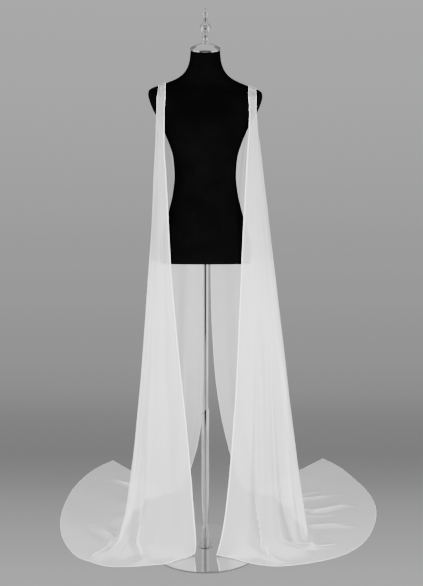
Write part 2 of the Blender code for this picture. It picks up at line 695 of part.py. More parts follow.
def pole():
    """The sleeve on the base, the pole that slides in it, and the screw that holds it."""
    foot = BASE_HEIGHT + SEAM_GAP
    bore = POLE_RADIUS + SEAM_GAP
    well = SLEEVE_TOP - POLE_OVERLAP
    turned("pole_lower", [(SLEEVE_RADIUS, foot), (SLEEVE_RADIUS, SLEEVE_TOP),
                          (bore, SLEEVE_TOP), (bore, well)], CHROME, sides=TUBE_SIDES)
    head = FORM_BOTTOM + POLE_SOCKET - SEAM_GAP
    turned("pole_upper", [(POLE_RADIUS, well + SEAM_GAP), (POLE_RADIUS, head)],
           CHROME, sides=TUBE_SIDES)
    out = SLEEVE_RADIUS + SEAM_GAP
    seat = (-out * sin(SCREW_TURN), -out * cos(SCREW_TURN), SLEEVE_TOP - SCREW_DROP)
    outline = list(zip(SCREW.column("radius"), SCREW.column("height")))
    turned("pole_screw", outline, CHROME, sides=SMALL_SIDES,
           turn=(pi / 2, 0, -SCREW_TURN), place=seat)


def main():
    for thing in list(bpy.data.objects):
        bpy.data.objects.remove(thing)
    form_torso()
    finial(neck_cap())
    base_disc()
    base_collar()
    pole()
    for name, wing in WINGS.items():
        stole_wing(name, wing)


main()
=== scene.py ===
"""Looks of a sheer evening stole in two wings on a black dress form.

Metres, Z up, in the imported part's frame: the pole stands on the origin and
the front faces -Y. Left and right are as the viewer in front sees them.
"""

import bpy
import numpy as np
from math import cos, pi, radians, sin, tan
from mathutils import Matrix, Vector


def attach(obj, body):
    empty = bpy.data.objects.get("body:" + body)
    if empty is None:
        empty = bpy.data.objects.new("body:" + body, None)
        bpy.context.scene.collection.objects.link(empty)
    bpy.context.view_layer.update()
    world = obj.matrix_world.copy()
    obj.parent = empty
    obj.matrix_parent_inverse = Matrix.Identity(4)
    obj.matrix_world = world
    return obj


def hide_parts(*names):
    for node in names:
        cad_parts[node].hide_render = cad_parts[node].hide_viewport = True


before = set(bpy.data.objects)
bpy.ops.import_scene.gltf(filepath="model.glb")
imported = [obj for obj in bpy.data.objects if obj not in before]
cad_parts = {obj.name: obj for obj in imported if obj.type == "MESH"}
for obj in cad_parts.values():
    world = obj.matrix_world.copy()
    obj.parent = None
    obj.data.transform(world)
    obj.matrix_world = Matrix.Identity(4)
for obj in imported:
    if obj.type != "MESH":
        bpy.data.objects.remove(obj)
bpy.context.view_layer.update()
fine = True

# Sizes shared with the part
SEAM_GAP = 0.0003
FORM_CLEARANCE = 0.0025
BASE_RADIUS = 0.195
BASE_HEIGHT = 0.006
SLEEVE_RADIUS = 0.0127
SLEEVE_TOP = 0.497
POLE_RADIUS = 0.0098
FORM_BOTTOM = 1.005
LEAN = 0.02
LEAN_FROM = 1.42
LEAN_TO = 1.56
BUST_HEIGHT = 1.43
BUST_SPACING = 0.075
BUST_SPREAD = 0.065
BUST_RISE = 0.014
NECK_BASE = 1.65
NECK_TOP = 1.7175
NECK_TILT = radians(24)
CAP_RADIUS = 0.0505
CAP_BAND = 0.004
CAP_RISE = 0.0165
FINIAL_SEAT = 0.0145
BAND_END = 1.555
ROUND_SHOULDER = 0.12
LEVEL_SQUARENESS = 3.0
FOOT_SQUARENESS = 2.0
FOOT_RISE = 0.6
TURN_EASE = 1.25
BEND_HEIGHT = 0.06
BEND_SHARE = 0.6
BEND_IN = 0.6
BEND_OUT = 0.35
BASE_MARGIN = 0.014
BASE_SLOPE = 0.08
FOLD_START = 0.35
DRIFT_FROM = 0.93
DRIFT_TO = 1.60

# Cloth as seen: its lift off what it lies on, and its grid
CLOTH_LIFT = 0.0009
TURN_COLUMNS = 440 if fine else 300
HANGING_ROWS = 84 if fine else 60
BEND_ROWS = 26 if fine else 18
TRAIN_ROWS = 46 if fine else 30
BAND_ROWS = 44 if fine else 30
JUST_PAST = 1.00001
DROP_EASE = 1.4
WELD = 0.00005
CLOTH_HALF_WIDTH = 0.9
HALVINGS = 24

# Gathers below the band and pleats on it
GATHER_DEPTH = 0.0009
GATHER_REACH = 0.95
GATHER_DRIFT = 0.12
GATHER_SWAY = 1.7
SWAY_RATE = 4.6
FINER_DEPTH = 0.45
FINER_RATE = 2.3
FINER_DRIFT = 4.1
BAND_PLEAT = 0.0006
BAND_BLEND = 0.6

# Rolled hem: its inward side is read one in HEM_INSET_SHARE of the front's columns from the
# edge, and along the band it is as wide as the wing's own is at BAND_TURN
HEM_SIDES = 8
HEM_STEP = 0.005
HEM_INSET_SHARE = 14
HEM_EVENING = range(-2, 3)
HEM_FLATNESS = 0.33
BAND_TURN = 0.6

# Chiffon: weave, slubs and cloudy spots, and how much each changes the cover
THREAD = 0.0011
SLUBS = (420.0, 26.0, 1.0)
SLUB_COVER = 0.10
CLOUD_COVER = 0.05
WEAVE_COVER = 0.04
WEAVE_HEIGHT = 0.5
CLOTH_WHITES = ((0.90, 0.90, 0.90), (0.955, 0.955, 0.955))

# Jersey: ribs, lint and wear
STITCH = 0.0021
RIB_HEIGHT = 0.5
WEAR_SHARE = 0.3
WORN_STOPS = ((0.45, 0.0), (0.75, 1.0))
JERSEY_BLACKS = ((0.0010, 0.0010, 0.0011), (0.0030, 0.0030, 0.0032))

# Chrome: wipe marks, dust and a cool tint
SMEARS = (9.0, 9.0, 60.0)
SMEAR_DULLING = 0.05
SMEAR_GAIN = 0.06
DUST_STOPS = ((0.62, 0.0), (0.74, 1.0))
DUST_DULLING = 0.06
TINT = 1.005
SMEAR_TINT = 0.005

# Form and stand as seen; the shoulder's levels in FORM, between CLOSE_FROM and CLOSE_TO, get
# rings of their own
FORM_SIDES = 144 if fine else 72
FORM_LEVELS = 140 if fine else 60
FORM_EDGE = 0.004
EDGE_STEPS = 6
CLOSE_FROM = 1.56
CLOSE_TO = 1.62
POLE_SOCKET = 0.08
POLE_OVERLAP = 0.12
BASE_EDGE = 0.0015
ROUND_STEPS = 5
LIP = 0.0006
LIP_STEPS = 4
NECK_SIDES = 36
CAP_STEPS = 24
COLLAR_LEVELS = 16
FINIAL_LEVELS = 110
FINIAL_SIDES = 64
TUBE_SIDES = 96
DISC_SIDES = 240
SHARP = radians(35)
FORM_SHARP = radians(50)
SCREW_DROP = 0.012
SCREW_TURN = radians(35)
SCREW_SIDES = 72
MILLING = 0.00018
MILLING_PITCH = 3


class Table:
    """Rows of named columns, read smoothly at any value of the first column."""

    def __init__(self, names, *rows):
        self.names = names.split()
        self.rows = np.array(rows, dtype=float)

    def column(self, name):
        return self.rows[:, self.names.index(name)]

    def read(self, name, at):
        """Cubic between the rows, held level past the ends."""
        knots = self.column(self.names[0])
        values = self.column(name)
        at = np.clip(at, knots[0], knots[-1])
        steps = np.diff(knots)
        slopes = self.slopes(knots, values)
        i = np.clip(np.searchsorted(knots, at, side="right") - 1, 0, len(steps) - 1)
        t = (at - knots[i]) / steps[i]
        rise = values[i] * (1 + 2 * t) * (1 - t) ** 2 + values[i + 1] * t ** 2 * (3 - 2 * t)
        tilt = slopes[i] * t * (1 - t) ** 2 - slopes[i + 1] * t ** 2 * (1 - t)
        return rise + tilt * steps[i]

    def slopes(self, knots, values):
        rises = np.diff(values) / np.diff(knots)
        before, after = rises[:-1], rises[1:]
        same_way = before * after > 0
        total = np.where(same_way, before + after, 1.0)
        inner = np.where(same_way, 2 * before * after / total, 0.0)
        return np.concatenate([rises[:1], inner, rises[-1:]])


class Curve(Table):
    """Rows read through a rounder curve, which may swing a little past a row's value."""

    def slopes(self, knots, values):
        return np.gradient(values, knots)


# Sections of the dress form, from its flat bottom to the neck
FORM = Table(
    "height half_width front back squareness centre",
    (1.005, 0.1530, 0.104, 0.113, 2.4, 0),
    (1.060, 0.1570, 0.108, 0.124, 2.4, 0),
    (1.100, 0.1500, 0.107, 0.122, 2.4, 0),
    (1.150, 0.1340, 0.100, 0.108, 2.4, 0),
    (1.200, 0.1205, 0.090, 0.091, 2.3, 0),
    (1.240, 0.1110, 0.083, 0.080, 2.3, 0),
    (1.300, 0.1046, 0.079, 0.074, 2.3, 0),
    (1.360, 0.1085, 0.086, 0.082, 2.3, 0),
    (1.400, 0.1190, 0.096, 0.093, 2.3, 0),
    (1.440, 0.1350, 0.104, 0.102, 2.3, 0),
    (1.480, 0.1530, 0.101, 0.104, 2.3, 0),
    (1.520, 0.1760, 0.086, 0.096, 2.2, 0),
    (1.550, 0.1880, 0.071, 0.081, 2.1, 0),
    (1.570, 0.1926, 0.061, 0.069, 2.1, 0),
    (1.582, 0.1911, 0.055, 0.062, 2.0, 0),
    (1.590, 0.1828, 0.052, 0.058, 2.0, 0),
    (1.597, 0.1660, 0.050, 0.055, 2.0, 0),
    (1.606, 0.1390, 0.049, 0.053, 2.0, -0.001),
    (1.616, 0.1120, 0.049, 0.052, 2.0, -0.002),
    (1.627, 0.0900, 0.049, 0.051, 2.0, -0.003),
    (1.642, 0.0720, 0.049, 0.050, 2.0, -0.005),
    (1.662, 0.0595, 0.049, 0.049, 2.0, -0.007),
    (1.685, 0.0525, 0.049, 0.049, 2.0, -0.010),
    (1.7175, 0.0490, 0.049, 0.049, 2.0, -0.013),
)

# Turned outlines, from the lowest point up
COLLAR = Table(
    "height radius",
    (0, 0.0245), (0.0026, 0.0245), (0.0040, 0.0232), (0.0046, 0.0205),
)
FINIAL = Table(
    "height radius",
    (0, 0.0140), (0.006, 0.0145), (0.009, 0.0085), (0.012, 0.0072), (0.020, 0.0095),
    (0.028, 0.0088), (0.033, 0.0072), (0.038, 0.0115), (0.046, 0.0165), (0.055, 0.0180),
    (0.062, 0.0160), (0.068, 0.0108), (0.072, 0.0078), (0.080, 0.0066), (0.088, 0.0054),
    (0.092, 0.0070), (0.097, 0.0108), (0.101, 0.0118), (0.104, 0.0080), (0.106, 0.0046),
    (0.110, 0.0060), (0.114, 0.0063), (0.118, 0.0044), (0.120, 0.0022),
)

# Each level of a hanging wing runs from its front edge round the side to its back edge
LEVEL_NAMES = "height front_x front_y side_x front_side_y back_side_y back_x back_y"
# The hem that each rib of the wing runs out to, how far it stays above the floor, and how
# far along the floor its bend reaches
HEM_NAMES = "turn x y lift bend"
# turn: 0 front edge, 1 side, 2 back edge; drift: how far the fold's turn moves in the bend;
# fade to end: drops over which it dies away, where 1 is the bend's top, 2 its foot, 3 the hem
FOLD_NAMES = "turn drift width depth top fade end"

LEFT_LEVELS = Table(
    LEVEL_NAMES,
    (0, 0.0330, -0.085, 0.3080, 0.020, 0.020, 0.110, 0.455),
    (0.060, 0.0315, -0.098, 0.2970, 0.020, 0.020, 0.095, 0.420),
    (0.150, 0.0372, -0.108, 0.2720, 0.025, 0.025, 0.065, 0.350),
    (0.300, 0.0483, -0.111, 0.2550, 0.035, 0.035, 0.028, 0.270),
    (0.450, 0.0612, -0.109, 0.2420, 0.030, 0.030, 0.010, 0.212),
    (0.600, 0.0768, -0.107, 0.2265, 0.025, 0.025, 0.008, 0.178),
    (0.850, 0.1010, -0.103, 0.2055, 0.015, 0.015, 0.008, 0.155),
    (1.000, 0.1130, -0.100, 0.1935, 0.010, 0.010, 0.009, 0.146),
    (1.100, 0.1188, -0.096, 0.1845, 0.008, 0.008, 0.011, 0.142),
    (1.200, 0.1232, -0.086, 0.1785, 0.005, 0.005, 0.018, 0.134),
    (1.300, 0.1288, -0.076, 0.1740, 0.005, 0.005, 0.036, 0.124),
    (1.400, 0.1345, -0.068, 0.1680, 0.005, 0.005, 0.068, 0.109),
    (1.445, 0.1348, -0.064, 0.1660, 0.004, 0.004, 0.088, 0.095),
    (1.449, 0.1348, -0.064, 0.1655, -0.013, 0.019, 0.090, 0.093),
    (1.457, 0.1348, -0.063, 0.1642, -0.025, 0.030, 0.094, 0.090),
    (1.472, 0.1347, -0.062, 0.1625, -0.035, 0.040, 0.101, 0.084),
    (1.495, 0.1345, -0.061, 0.1615, -0.041, 0.046, 0.110, 0.076),
    (1.525, 0.1338, -0.058, 0.1602, -0.044, 0.048, 0.120, 0.065),
    (1.555, 0.1315, -0.054, 0.1598, -0.042, 0.046, 0.128, 0.056),
)
RIGHT_LEVELS = Table(
    LEVEL_NAMES,
    (0, 0.0380, -0.088, 0.3600, 0.020, 0.020, 0.175, 0.470),
    (0.060, 0.0500, -0.099, 0.3520, 0.020, 0.020, 0.155, 0.425),
    (0.150, 0.0650, -0.108, 0.3380, 0.025, 0.025, 0.125, 0.350),
    (0.300, 0.0808, -0.111, 0.3165, 0.035, 0.035, 0.085, 0.270),
    (0.450, 0.0920, -0.109, 0.3015, 0.030, 0.030, 0.055, 0.212),
    (0.600, 0.1018, -0.107, 0.2860, 0.025, 0.025, 0.036, 0.178),
    (0.850, 0.1125, -0.103, 0.2545, 0.015, 0.015, 0.022, 0.155),
    (1.000, 0.1190, -0.100, 0.2355, 0.010, 0.010, 0.020, 0.146),
    (1.100, 0.1232, -0.096, 0.2220, 0.008, 0.008, 0.021, 0.142),
    (1.200, 0.1280, -0.086, 0.2090, 0.005, 0.005, 0.028, 0.134),
    (1.300, 0.1332, -0.076, 0.1965, 0.005, 0.005, 0.046, 0.124),
    (1.400, 0.1395, -0.068, 0.1840, 0.005, 0.005, 0.078, 0.109),
    (1.445, 0.1435, -0.064, 0.1762, 0.004, 0.004, 0.098, 0.095),
    (1.449, 0.1435, -0.064, 0.1756, -0.013, 0.019, 0.100, 0.093),
    (1.457, 0.1435, -0.063, 0.1740, -0.025, 0.030, 0.104, 0.090),
    (1.472, 0.1440, -0.062, 0.1712, -0.035, 0.040, 0.111, 0.084),
    (1.495, 0.1445, -0.061, 0.1692, -0.041, 0.046, 0.120, 0.076),
    (1.525, 0.1440, -0.058, 0.1675, -0.044, 0.048, 0.130, 0.065),
    (1.555, 0.1415, -0.054, 0.1685, -0.042, 0.046, 0.137, 0.056),
)
LEFT_HEM = Curve(
    HEM_NAMES,
    (0, 0.0445, -0.068, 0.002, 0.050),
    (0.05, 0.0590, -0.088, 0.001, 0.050),
    (0.12, 0.0880, -0.110, 0.001, 0.050),
    (0.20, 0.1230, -0.138, 0.001, 0.050),
    (0.30, 0.1700, -0.146, 0, 0.060),
    (0.40, 0.2240, -0.146, 0, 0.070),
    (0.60, 0.3300, -0.143, 0, 0.090),
    (0.75, 0.3900, -0.112, 0, 0.090),
    (0.90, 0.4400, -0.075, 0, 0.090),
    (1.00, 0.4740, -0.026, 0, 0.090),
    (1.10, 0.5170, 0.062, 0, 0.110),
    (1.20, 0.5510, 0.175, 0, 0.140),
    (1.30, 0.5720, 0.300, 0, 0.170),
    (1.40, 0.5800, 0.430, 0, 0.200),
    (1.60, 0.5700, 0.640, 0, 0.220),
    (1.80, 0.5250, 0.825, 0, 0.220),
    (2.00, 0.4570, 0.955, 0, 0.200),
)
RIGHT_HEM = Curve(
    HEM_NAMES,
    (0, 0.0364, -0.075, 0.002, 0.050),
    (0.10, 0.0775, -0.090, 0.001, 0.050),
    (0.20, 0.1300, -0.126, 0.001, 0.050),
    (0.30, 0.1850, -0.144, 0, 0.060),
    (0.40, 0.2600, -0.142, 0, 0.070),
    (0.60, 0.4240, -0.093, 0, 0.070),
    (0.80, 0.5350, -0.008, 0, 0.035),
    (0.90, 0.5790, 0.050, 0, 0.035),
    (1.00, 0.6190, 0.125, 0, 0.035),
    (1.10, 0.6570, 0.220, 0, 0.060),
    (1.20, 0.6880, 0.330, 0, 0.100),
    (1.30, 0.7010, 0.430, 0, 0.140),
    (1.40, 0.7020, 0.525, 0, 0.180),
    (1.60, 0.6750, 0.715, 0, 0.220),
    (1.80, 0.6420, 0.860, 0, 0.220),
    (2.00, 0.5860, 0.985, 0, 0.200),
)
LEFT_FOLDS = Table(
    FOLD_NAMES,
    (0.14, 0, 0.07, 0.006, 1.10, 2.0, 2.3),
    (0.30, 0, 0.06, -0.008, 0.95, 2.0, 2.3),
    (0.50, -0.10, 0.05, 0.012, 0.80, 2.0, 2.8),
    (0.63, -0.12, 0.05, -0.024, 0.55, 1.4, 2.2),
    (0.75, 0, 0.05, 0.014, 0.50, 2.0, 2.9),
    (0.88, 0, 0.05, -0.010, 1.20, 2.0, 2.5),
    (1.14, 0, 0.06, -0.014, 1.20, 1.0, 2.0),
    (1.24, 0, 0.05, 0.014, 0.45, 1.0, 2.0),
    (1.36, 0, 0.06, -0.014, 0.90, 1.0, 2.0),
    (1.48, 0, 0.05, 0.014, 1.00, 1.0, 2.0),
    (1.62, 0, 0.06, -0.014, 1.10, 1.0, 2.0),
    (1.74, 0, 0.05, 0.012, 0.90, 1.0, 2.0),
    (1.87, 0, 0.05, -0.010, 0.80, 1.0, 2.0),
)
RIGHT_FOLDS = Table(
    FOLD_NAMES,
    (0.12, 0, 0.06, 0.006, 1.10, 2.0, 2.3),
    (0.26, 0.06, 0.05, -0.010, 0.90, 2.0, 2.4),
    (0.36, 0.04, 0.04, 0.016, 0.80, 1.6, 2.6),
    (0.52, 0.24, 0.05, -0.022, 0.85, 1.2, 2.2),
    (0.60, 0.235, 0.05, 0.020, 0.90, 1.2, 2.6),
    (0.76, 0.16, 0.06, -0.012, 1.20, 1.0, 2.2),
    (0.90, 0, 0.05, 0.010, 0.60, 1.0, 1.6),
    (1.08, 0, 0.04, 0.012, 0.50, 1.0, 2.0),
    (1.17, 0, 0.05, -0.014, 1.20, 1.0, 2.0),
    (1.27, 0, 0.04, 0.014, 0.50, 1.0, 2.2),
    (1.40, 0, 0.06, -0.014, 1.00, 1.0, 2.0),
    (1.53, 0, 0.05, 0.014, 1.00, 1.0, 2.0),
    (1.68, 0, 0.06, -0.012, 1.10, 1.0, 2.0),
    (1.82, 0, 0.05, 0.010, 0.90, 1.0, 2.0),
)

# The rolled hem's width along the wing's edge
HEM_WIDTHS = Table(
    "turn width",
    (0, 0.0034), (0.3, 0.0030), (0.6, 0.0024), (1.0, 0.0014), (2.0, 0.0011),
)

# Set screw's head: radius, height on its axis, and 1 where its edge is milled
SCREW_HEAD = (
    (0.0021, 0, 0), (0.0021, 0.0021, 0), (0.0031, 0.0024, 1), (0.0035, 0.0029, 1),
    (0.0035, 0.0062, 1), (0.0031, 0.0068, 1), (0.0026, 0.0070, 0),
)

# Studio: floor tone by depth behind the form and air tone by rise, as the picture shows
# them, and the light that each tone stands for
VIEW_TONES = Table(
    "tone light",
    (0.40, 0.1351), (0.45, 0.1711), (0.50, 0.2146), (0.55, 0.2722), (0.60, 0.3499),
    (0.65, 0.4586), (0.70, 0.6172), (0.75, 0.8612),
)
# Floor tones are painted light: the floor glows by depth, and its darker band behind the form is
# painted shade
FLOOR_PAINTED_LIGHT_AND_SHADE = Table(
    "depth tone",
    (-8.0, 0.640), (-1.0, 0.655), (-0.25, 0.650), (0.03, 0.616), (0.30, 0.584), (0.65, 0.523),
    (0.95, 0.487), (1.15, 0.484), (1.70, 0.503), (2.50, 0.547), (3.70, 0.572), (5.60, 0.580),
    (9.50, 0.595), (26.0, 0.605),
)
AIR_TONES = Table(
    "rise tone",
    (0, 0.610), (0.100, 0.634), (0.200, 0.650), (0.330, 0.664), (0.400, 0.728),
    (0.450, 0.728), (0.520, 0.690), (1.000, 0.700),
)
FLOOR_GREY = 0.01
FLOOR_HALF = 60.0
FLOOR_GAP = 0.0002

# Lamps: name, place, aim, width and height, power
LIGHTS = (
    ("left_side_softbox", (-2.3, -0.7, 1.2), (0.0, 0.0, 0.90), (1.0, 1.4), 74.0),
    ("left_low_softbox", (-1.3, -1.9, 0.7), (0.0, 0.0, 0.70), (0.8, 0.8), 72.0),
    ("right_low_softbox", (1.3, -1.9, 0.7), (0.0, 0.0, 0.70), (0.8, 0.8), 180.0),
    ("rear_softbox", (0.0, 3.0, 1.3), (0.0, 0.2, 0.90), (2.4, 1.2), 30.0),
)

# Cards that only the polished metal reflects: name, corners and glow
CARD_BLACK = (0.01, 0.01, 0.01, 1.0)
CARD_WHITE = (1.0, 1.0, 1.0, 1.0)
CARDS = (
    ("low_front_flag",
     ((-2.3, -5.0, 0), (2.3, -5.0, 0), (2.3, -5.0, 1.0), (-2.3, -5.0, 1.0)), 0),
    ("middle_front_flag",
     ((-1.6, -5.0, 1.0), (1.6, -5.0, 1.0), (1.6, -5.0, 2.8), (-1.6, -5.0, 2.8)), 0.45),
    ("high_front_flag",
     ((-4.5, -5.0, 3.15), (4.5, -5.0, 3.15), (6.0, -5.0, 7.0), (-6.0, -5.0, 7.0)), 0.10),
    ("high_rear_flag",
     ((-2.6, 4.0, 2.4), (2.6, 4.0, 2.4), (2.6, 4.0, 6.7), (-2.6, 4.0, 6.7)), 0.15),
    ("high_left_flag",
     ((-2.6, 0.8, 2.1), (-2.6, 4.0, 2.1), (-2.6, 4.0, 6.7), (-2.6, 0.8, 6.7)), 0.22),
    ("high_right_flag",
     ((2.6, 0.8, 2.1), (2.6, 4.0, 2.1), (2.6, 4.0, 6.7), (2.6, 0.8, 6.7)), 0.22),
    ("floor_flag",
     ((-0.36, -1.0, 0.001), (0.36, -1.0, 0.001), (1.8, -5.0, 0.001), (-1.8, -5.0, 0.001)), 0.29),
    ("left_white_card",
     ((-2.6, -2.4, 0), (-2.6, 2.8, 0), (-2.6, 2.8, 2.1), (-2.6, -2.4, 3.0)), 1.0),
    ("right_white_card",
     ((2.6, -2.4, 0), (2.6, 2.8, 0), (2.6, 2.8, 2.1), (2.6, -2.4, 3.0)), 1.0),
)

# Camera: its focal length and the picture's height are both in pixels
CAMERA_PLACE = (0.0, -2.34627, 1.0835)
CAMERA_TILT = radians(4.38)
CAMERA_SENSOR = 36.0
CAMERA_LENS = 683 / 586 * CAMERA_SENSOR
CAMERA_SHIFT = 0.01058


class Crease:
    """One fold finer than the solids': a ridge along a line of the cloth, steep on one flank.

    drop: 0 at the band, 1 where the cloth starts to bend, 2 where it lies, 3 at the hem;
    rise is out of the cloth; lean is towards the side, or the inner edge if less than 0.
    """

    def __init__(self, inner, outer, *rows):
        self.inner = inner
        self.outer = outer
        self.line = Table("drop turn rise lean", *rows)

    def shape(self, turn, drop):
        away = turn - self.line.read("turn", drop)
        width = np.where(away < 0, self.inner, self.outer)
        profile = np.exp(-(away / width) ** 2)
        return self.line.read("rise", drop) * profile, self.line.read("lean", drop) * profile


LEFT_CREASES = (
    Crease(0.016, 0.007, (0.76, 0.575, 0, 0), (0.88, 0.56, 0.003, 0.003),
           (0.94, 0.545, 0.005, 0.006), (0.98, 0.52, 0.008, 0.011), (1.1, 0.5, 0.009, 0.013),
           (1.5, 0.462, 0.009, 0.012), (1.78, 0.425, 0.006, 0.008), (1.95, 0.405, 0.004, 0.003),
           (2.2, 0.395, 0, 0)),
    Crease(0.06, 0.02, (0.95, 0.6, 0, 0), (1.02, 0.6, -0.005, 0), (1.3, 0.6, -0.01, 0),
           (1.6, 0.56, -0.01, 0), (1.9, 0.48, 0, 0)),
    Crease(0.008, 0.07, (0.96, 0.64, 0, 0), (1.14, 0.66, 0.008, -0.005),
           (1.4, 0.67, 0.013, -0.011), (1.58, 0.655, 0.009, -0.007), (1.8, 0.62, 0, 0)),
    Crease(0.08, 0.012, (1.42, 0.985, 0, 0), (1.56, 0.965, 0.008, 0.007),
           (1.76, 0.88, 0.012, 0.014), (2.1, 0.83, 0.009, 0.01), (2.47, 0.81, 0.003, 0.003),
           (2.65, 0.8, 0, 0)),
    Crease(0.012, 0.03, (0.8, 0.395, 0, 0), (0.9, 0.407, 0.002, -0.001),
           (0.96, 0.435, 0.003, -0.001), (1.1, 0.44, 0, 0)),
    Crease(0.03, 0.045, (0.1, 0.235, 0, 0), (0.36, 0.247, -0.003, 0), (0.56, 0.31, -0.003, 0),
           (0.72, 0.333, -0.002, 0), (0.85, 0.34, 0, 0)),
    Crease(0.016, 0.005, (1.2, 0.97, 0, 0), (1.44, 1.01, 0.006, 0.004),
           (1.66, 1.072, 0.018, 0.013), (1.8, 1.112, 0.02, 0.015), (1.9, 1.145, 0.014, 0.011),
           (2.00, 1.175, 0.007, 0.005), (2.1, 1.2, 0, 0)),
    Crease(0.012, 0.006, (1.2, 1.05, 0, 0), (1.5, 1.09, 0.004, 0.002), (1.66, 1.13, 0.009, 0.006),
           (1.78, 1.165, 0.01, 0.008), (1.95, 1.205, 0.006, 0.004), (2.05, 1.22, 0, 0)),
    Crease(0.014, 0.006, (1.5, 1.745, 0, 0), (1.85, 1.747, 0.01, 0.006),
           (2.08, 1.747, 0.013, 0.01), (2.28, 1.749, 0.009, 0.006), (2.44, 1.754, 0.004, 0.002),
           (2.52, 1.757, 0, 0)),
)
RIGHT_CREASES = (
    Crease(0.01, 0.05, (0.5, 0.53, 0, 0), (0.72, 0.538, 0.004, -0.003),
           (0.85, 0.545, 0.006, -0.006), (0.93, 0.549, 0.008, -0.009), (0.97, 0.573, 0.009, -0.01),
           (1.03, 0.615, 0.009, -0.01), (1.2, 0.69, 0.008, -0.008), (1.58, 0.835, 0.005, -0.003),
           (2.1, 0.862, 0.005, -0.003), (2.31, 0.886, 0.003, -0.002), (2.45, 0.895, 0, 0)),
    Crease(0.045, 0.016, (0.5, 0.495, 0, 0), (0.79, 0.5, -0.004, 0), (0.92, 0.505, -0.005, 0),
           (0.97, 0.53, -0.005, 0), (1.05, 0.585, -0.005, 0), (1.3, 0.7, -0.006, 0),
           (1.6, 0.785, -0.004, 0), (1.9, 0.81, 0, 0)),
    Crease(0.007, 0.018, (0.6, 0.292, 0, 0), (0.78, 0.302, 0.004, -0.004),
           (0.88, 0.322, 0.006, -0.009), (0.93, 0.345, 0.008, -0.013), (0.98, 0.376, 0.01, -0.015),
           (1.06, 0.402, 0.01, -0.015), (1.2, 0.42, 0.01, -0.015), (1.5, 0.412, 0.009, -0.013),
           (1.73, 0.4, 0.006, -0.009), (2.1, 0.388, 0.002, -0.001), (2.25, 0.387, 0, 0)),
    Crease(0.007, 0.008, (0.6, 0.412, 0, 0), (0.83, 0.414, 0.003, -0.003),
           (0.94, 0.415, 0.003, -0.004), (1.00, 0.411, 0.002, -0.002), (1.39, 0.396, 0, 0)),
    Crease(0.03, 0.03, (0.2, 0.44, 0, 0), (0.36, 0.447, -0.004, 0), (0.54, 0.423, -0.004, 0),
           (0.71, 0.403, -0.003, 0), (0.85, 0.35, 0, 0)),
    Crease(0.04, 0.024, (0.15, 0.62, 0, 0), (0.36, 0.62, 0.004, 0), (0.54, 0.57, 0.004, 0),
           (0.72, 0.56, 0, 0)),
    Crease(0.012, 0.008, (1.4, 1.35, 0, 0), (1.73, 1.327, 0.01, 0.003),
           (1.92, 1.293, 0.013, 0.005), (2.11, 1.292, 0.013, 0.005), (2.38, 1.299, 0.01, 0.004),
           (2.54, 1.296, 0.005, 0.001), (2.7, 1.29, 0, 0)),
    Crease(0.012, 0.008, (1.5, 1.17, 0, 0), (1.7, 1.16, 0.006, 0.002), (1.86, 1.149, 0.01, 0.004),
           (2.24, 1.126, 0.011, 0.004), (2.45, 1.104, 0.007, 0.002), (2.65, 1.082, 0.002, 0.001),
           (2.75, 1.074, 0, 0)),
    Crease(0.012, 0.008, (1.5, 1.5, 0, 0), (1.83, 1.484, 0.009, 0.003), (2.07, 1.46, 0.008, 0.003),
           (2.29, 1.459, 0.003, 0.001), (2.45, 1.459, 0, 0)),
    Crease(0.01, 0.008, (1.6, 1.548, 0, 0), (1.9, 1.548, 0.005, 0.002),
           (2.09, 1.549, 0.003, 0.001), (2.2, 1.55, 0, 0)),
    Crease(0.01, 0.008, (1.5, 1.268, 0, 0), (1.78, 1.259, 0.004, 0.001),
           (2.13, 1.239, 0.004, 0.001), (2.3, 1.232, 0, 0)),
)

# pleats: how many on the band; top_inner, top_outer: the band's edges on top of the shoulder;
# flat, area: the wing's cut before it was gathered
WINGS = {
    "left": {"side": -1, "levels": LEFT_LEVELS, "hem": LEFT_HEM, "folds": LEFT_FOLDS,
             "creases": LEFT_CREASES, "pleats": 4.5, "top_inner": 0.132, "top_outer": 0.154,
             "flat": (1.53, 2.35), "area": 1.26},
    "right": {"side": 1, "levels": RIGHT_LEVELS, "hem": RIGHT_HEM, "folds": RIGHT_FOLDS,
              "creases": RIGHT_CREASES, "pleats": 5.5, "top_inner": 0.144, "top_outer": 0.169,
              "flat": (1.60, 2.42), "area": 1.38},
}


def smooth(value):
    """0 to 1 with level ends."""
    value = np.clip(value, 0.0, 1.0)
    return value * value * (3 - 2 * value)


def mix(start, end, share):
    """From start at share 0 to end at 1."""
    return start + (end - start) * share


def length(vectors):
    """Each vector's length."""
    return np.linalg.norm(vectors, axis=-1)


def unit(vectors):
    """The vectors brought to length 1."""
    return vectors / length(vectors)[..., None]


# Dress form

def lean_at(height):
    """How far the shoulders tip towards one side, for each metre across."""
    return LEAN * smooth((height - LEAN_FROM) / (LEAN_TO - LEAN_FROM))


def bust(x, level):
    """How far the chest stands out of the plain section."""
    rise = np.exp(-((level - BUST_HEIGHT) / BUST_SPREAD) ** 2)
    return BUST_RISE * rise * np.exp(-((np.abs(x) - BUST_SPACING) / BUST_SPREAD) ** 2)


def form_depth(x, height, behind, margin=0.0):
    """How far the form, with a margin round it, stands from the middle plane at x."""
    level = height + lean_at(height) * x
    power = FORM.read("squareness", level)
    across = np.abs(x) / (FORM.read("half_width", level) + margin)
    depth = np.where(behind, FORM.read("back", level), FORM.read("front", level)) + margin
    depth = depth * np.clip(1 - across ** power, 0, 1) ** (1 / power)
    depth = depth + np.where(behind, 1, -1) * FORM.read("centre", level)
    depth = depth + np.where(behind, 0, bust(x, level))
    return np.where(across < 1, depth, -1.0)


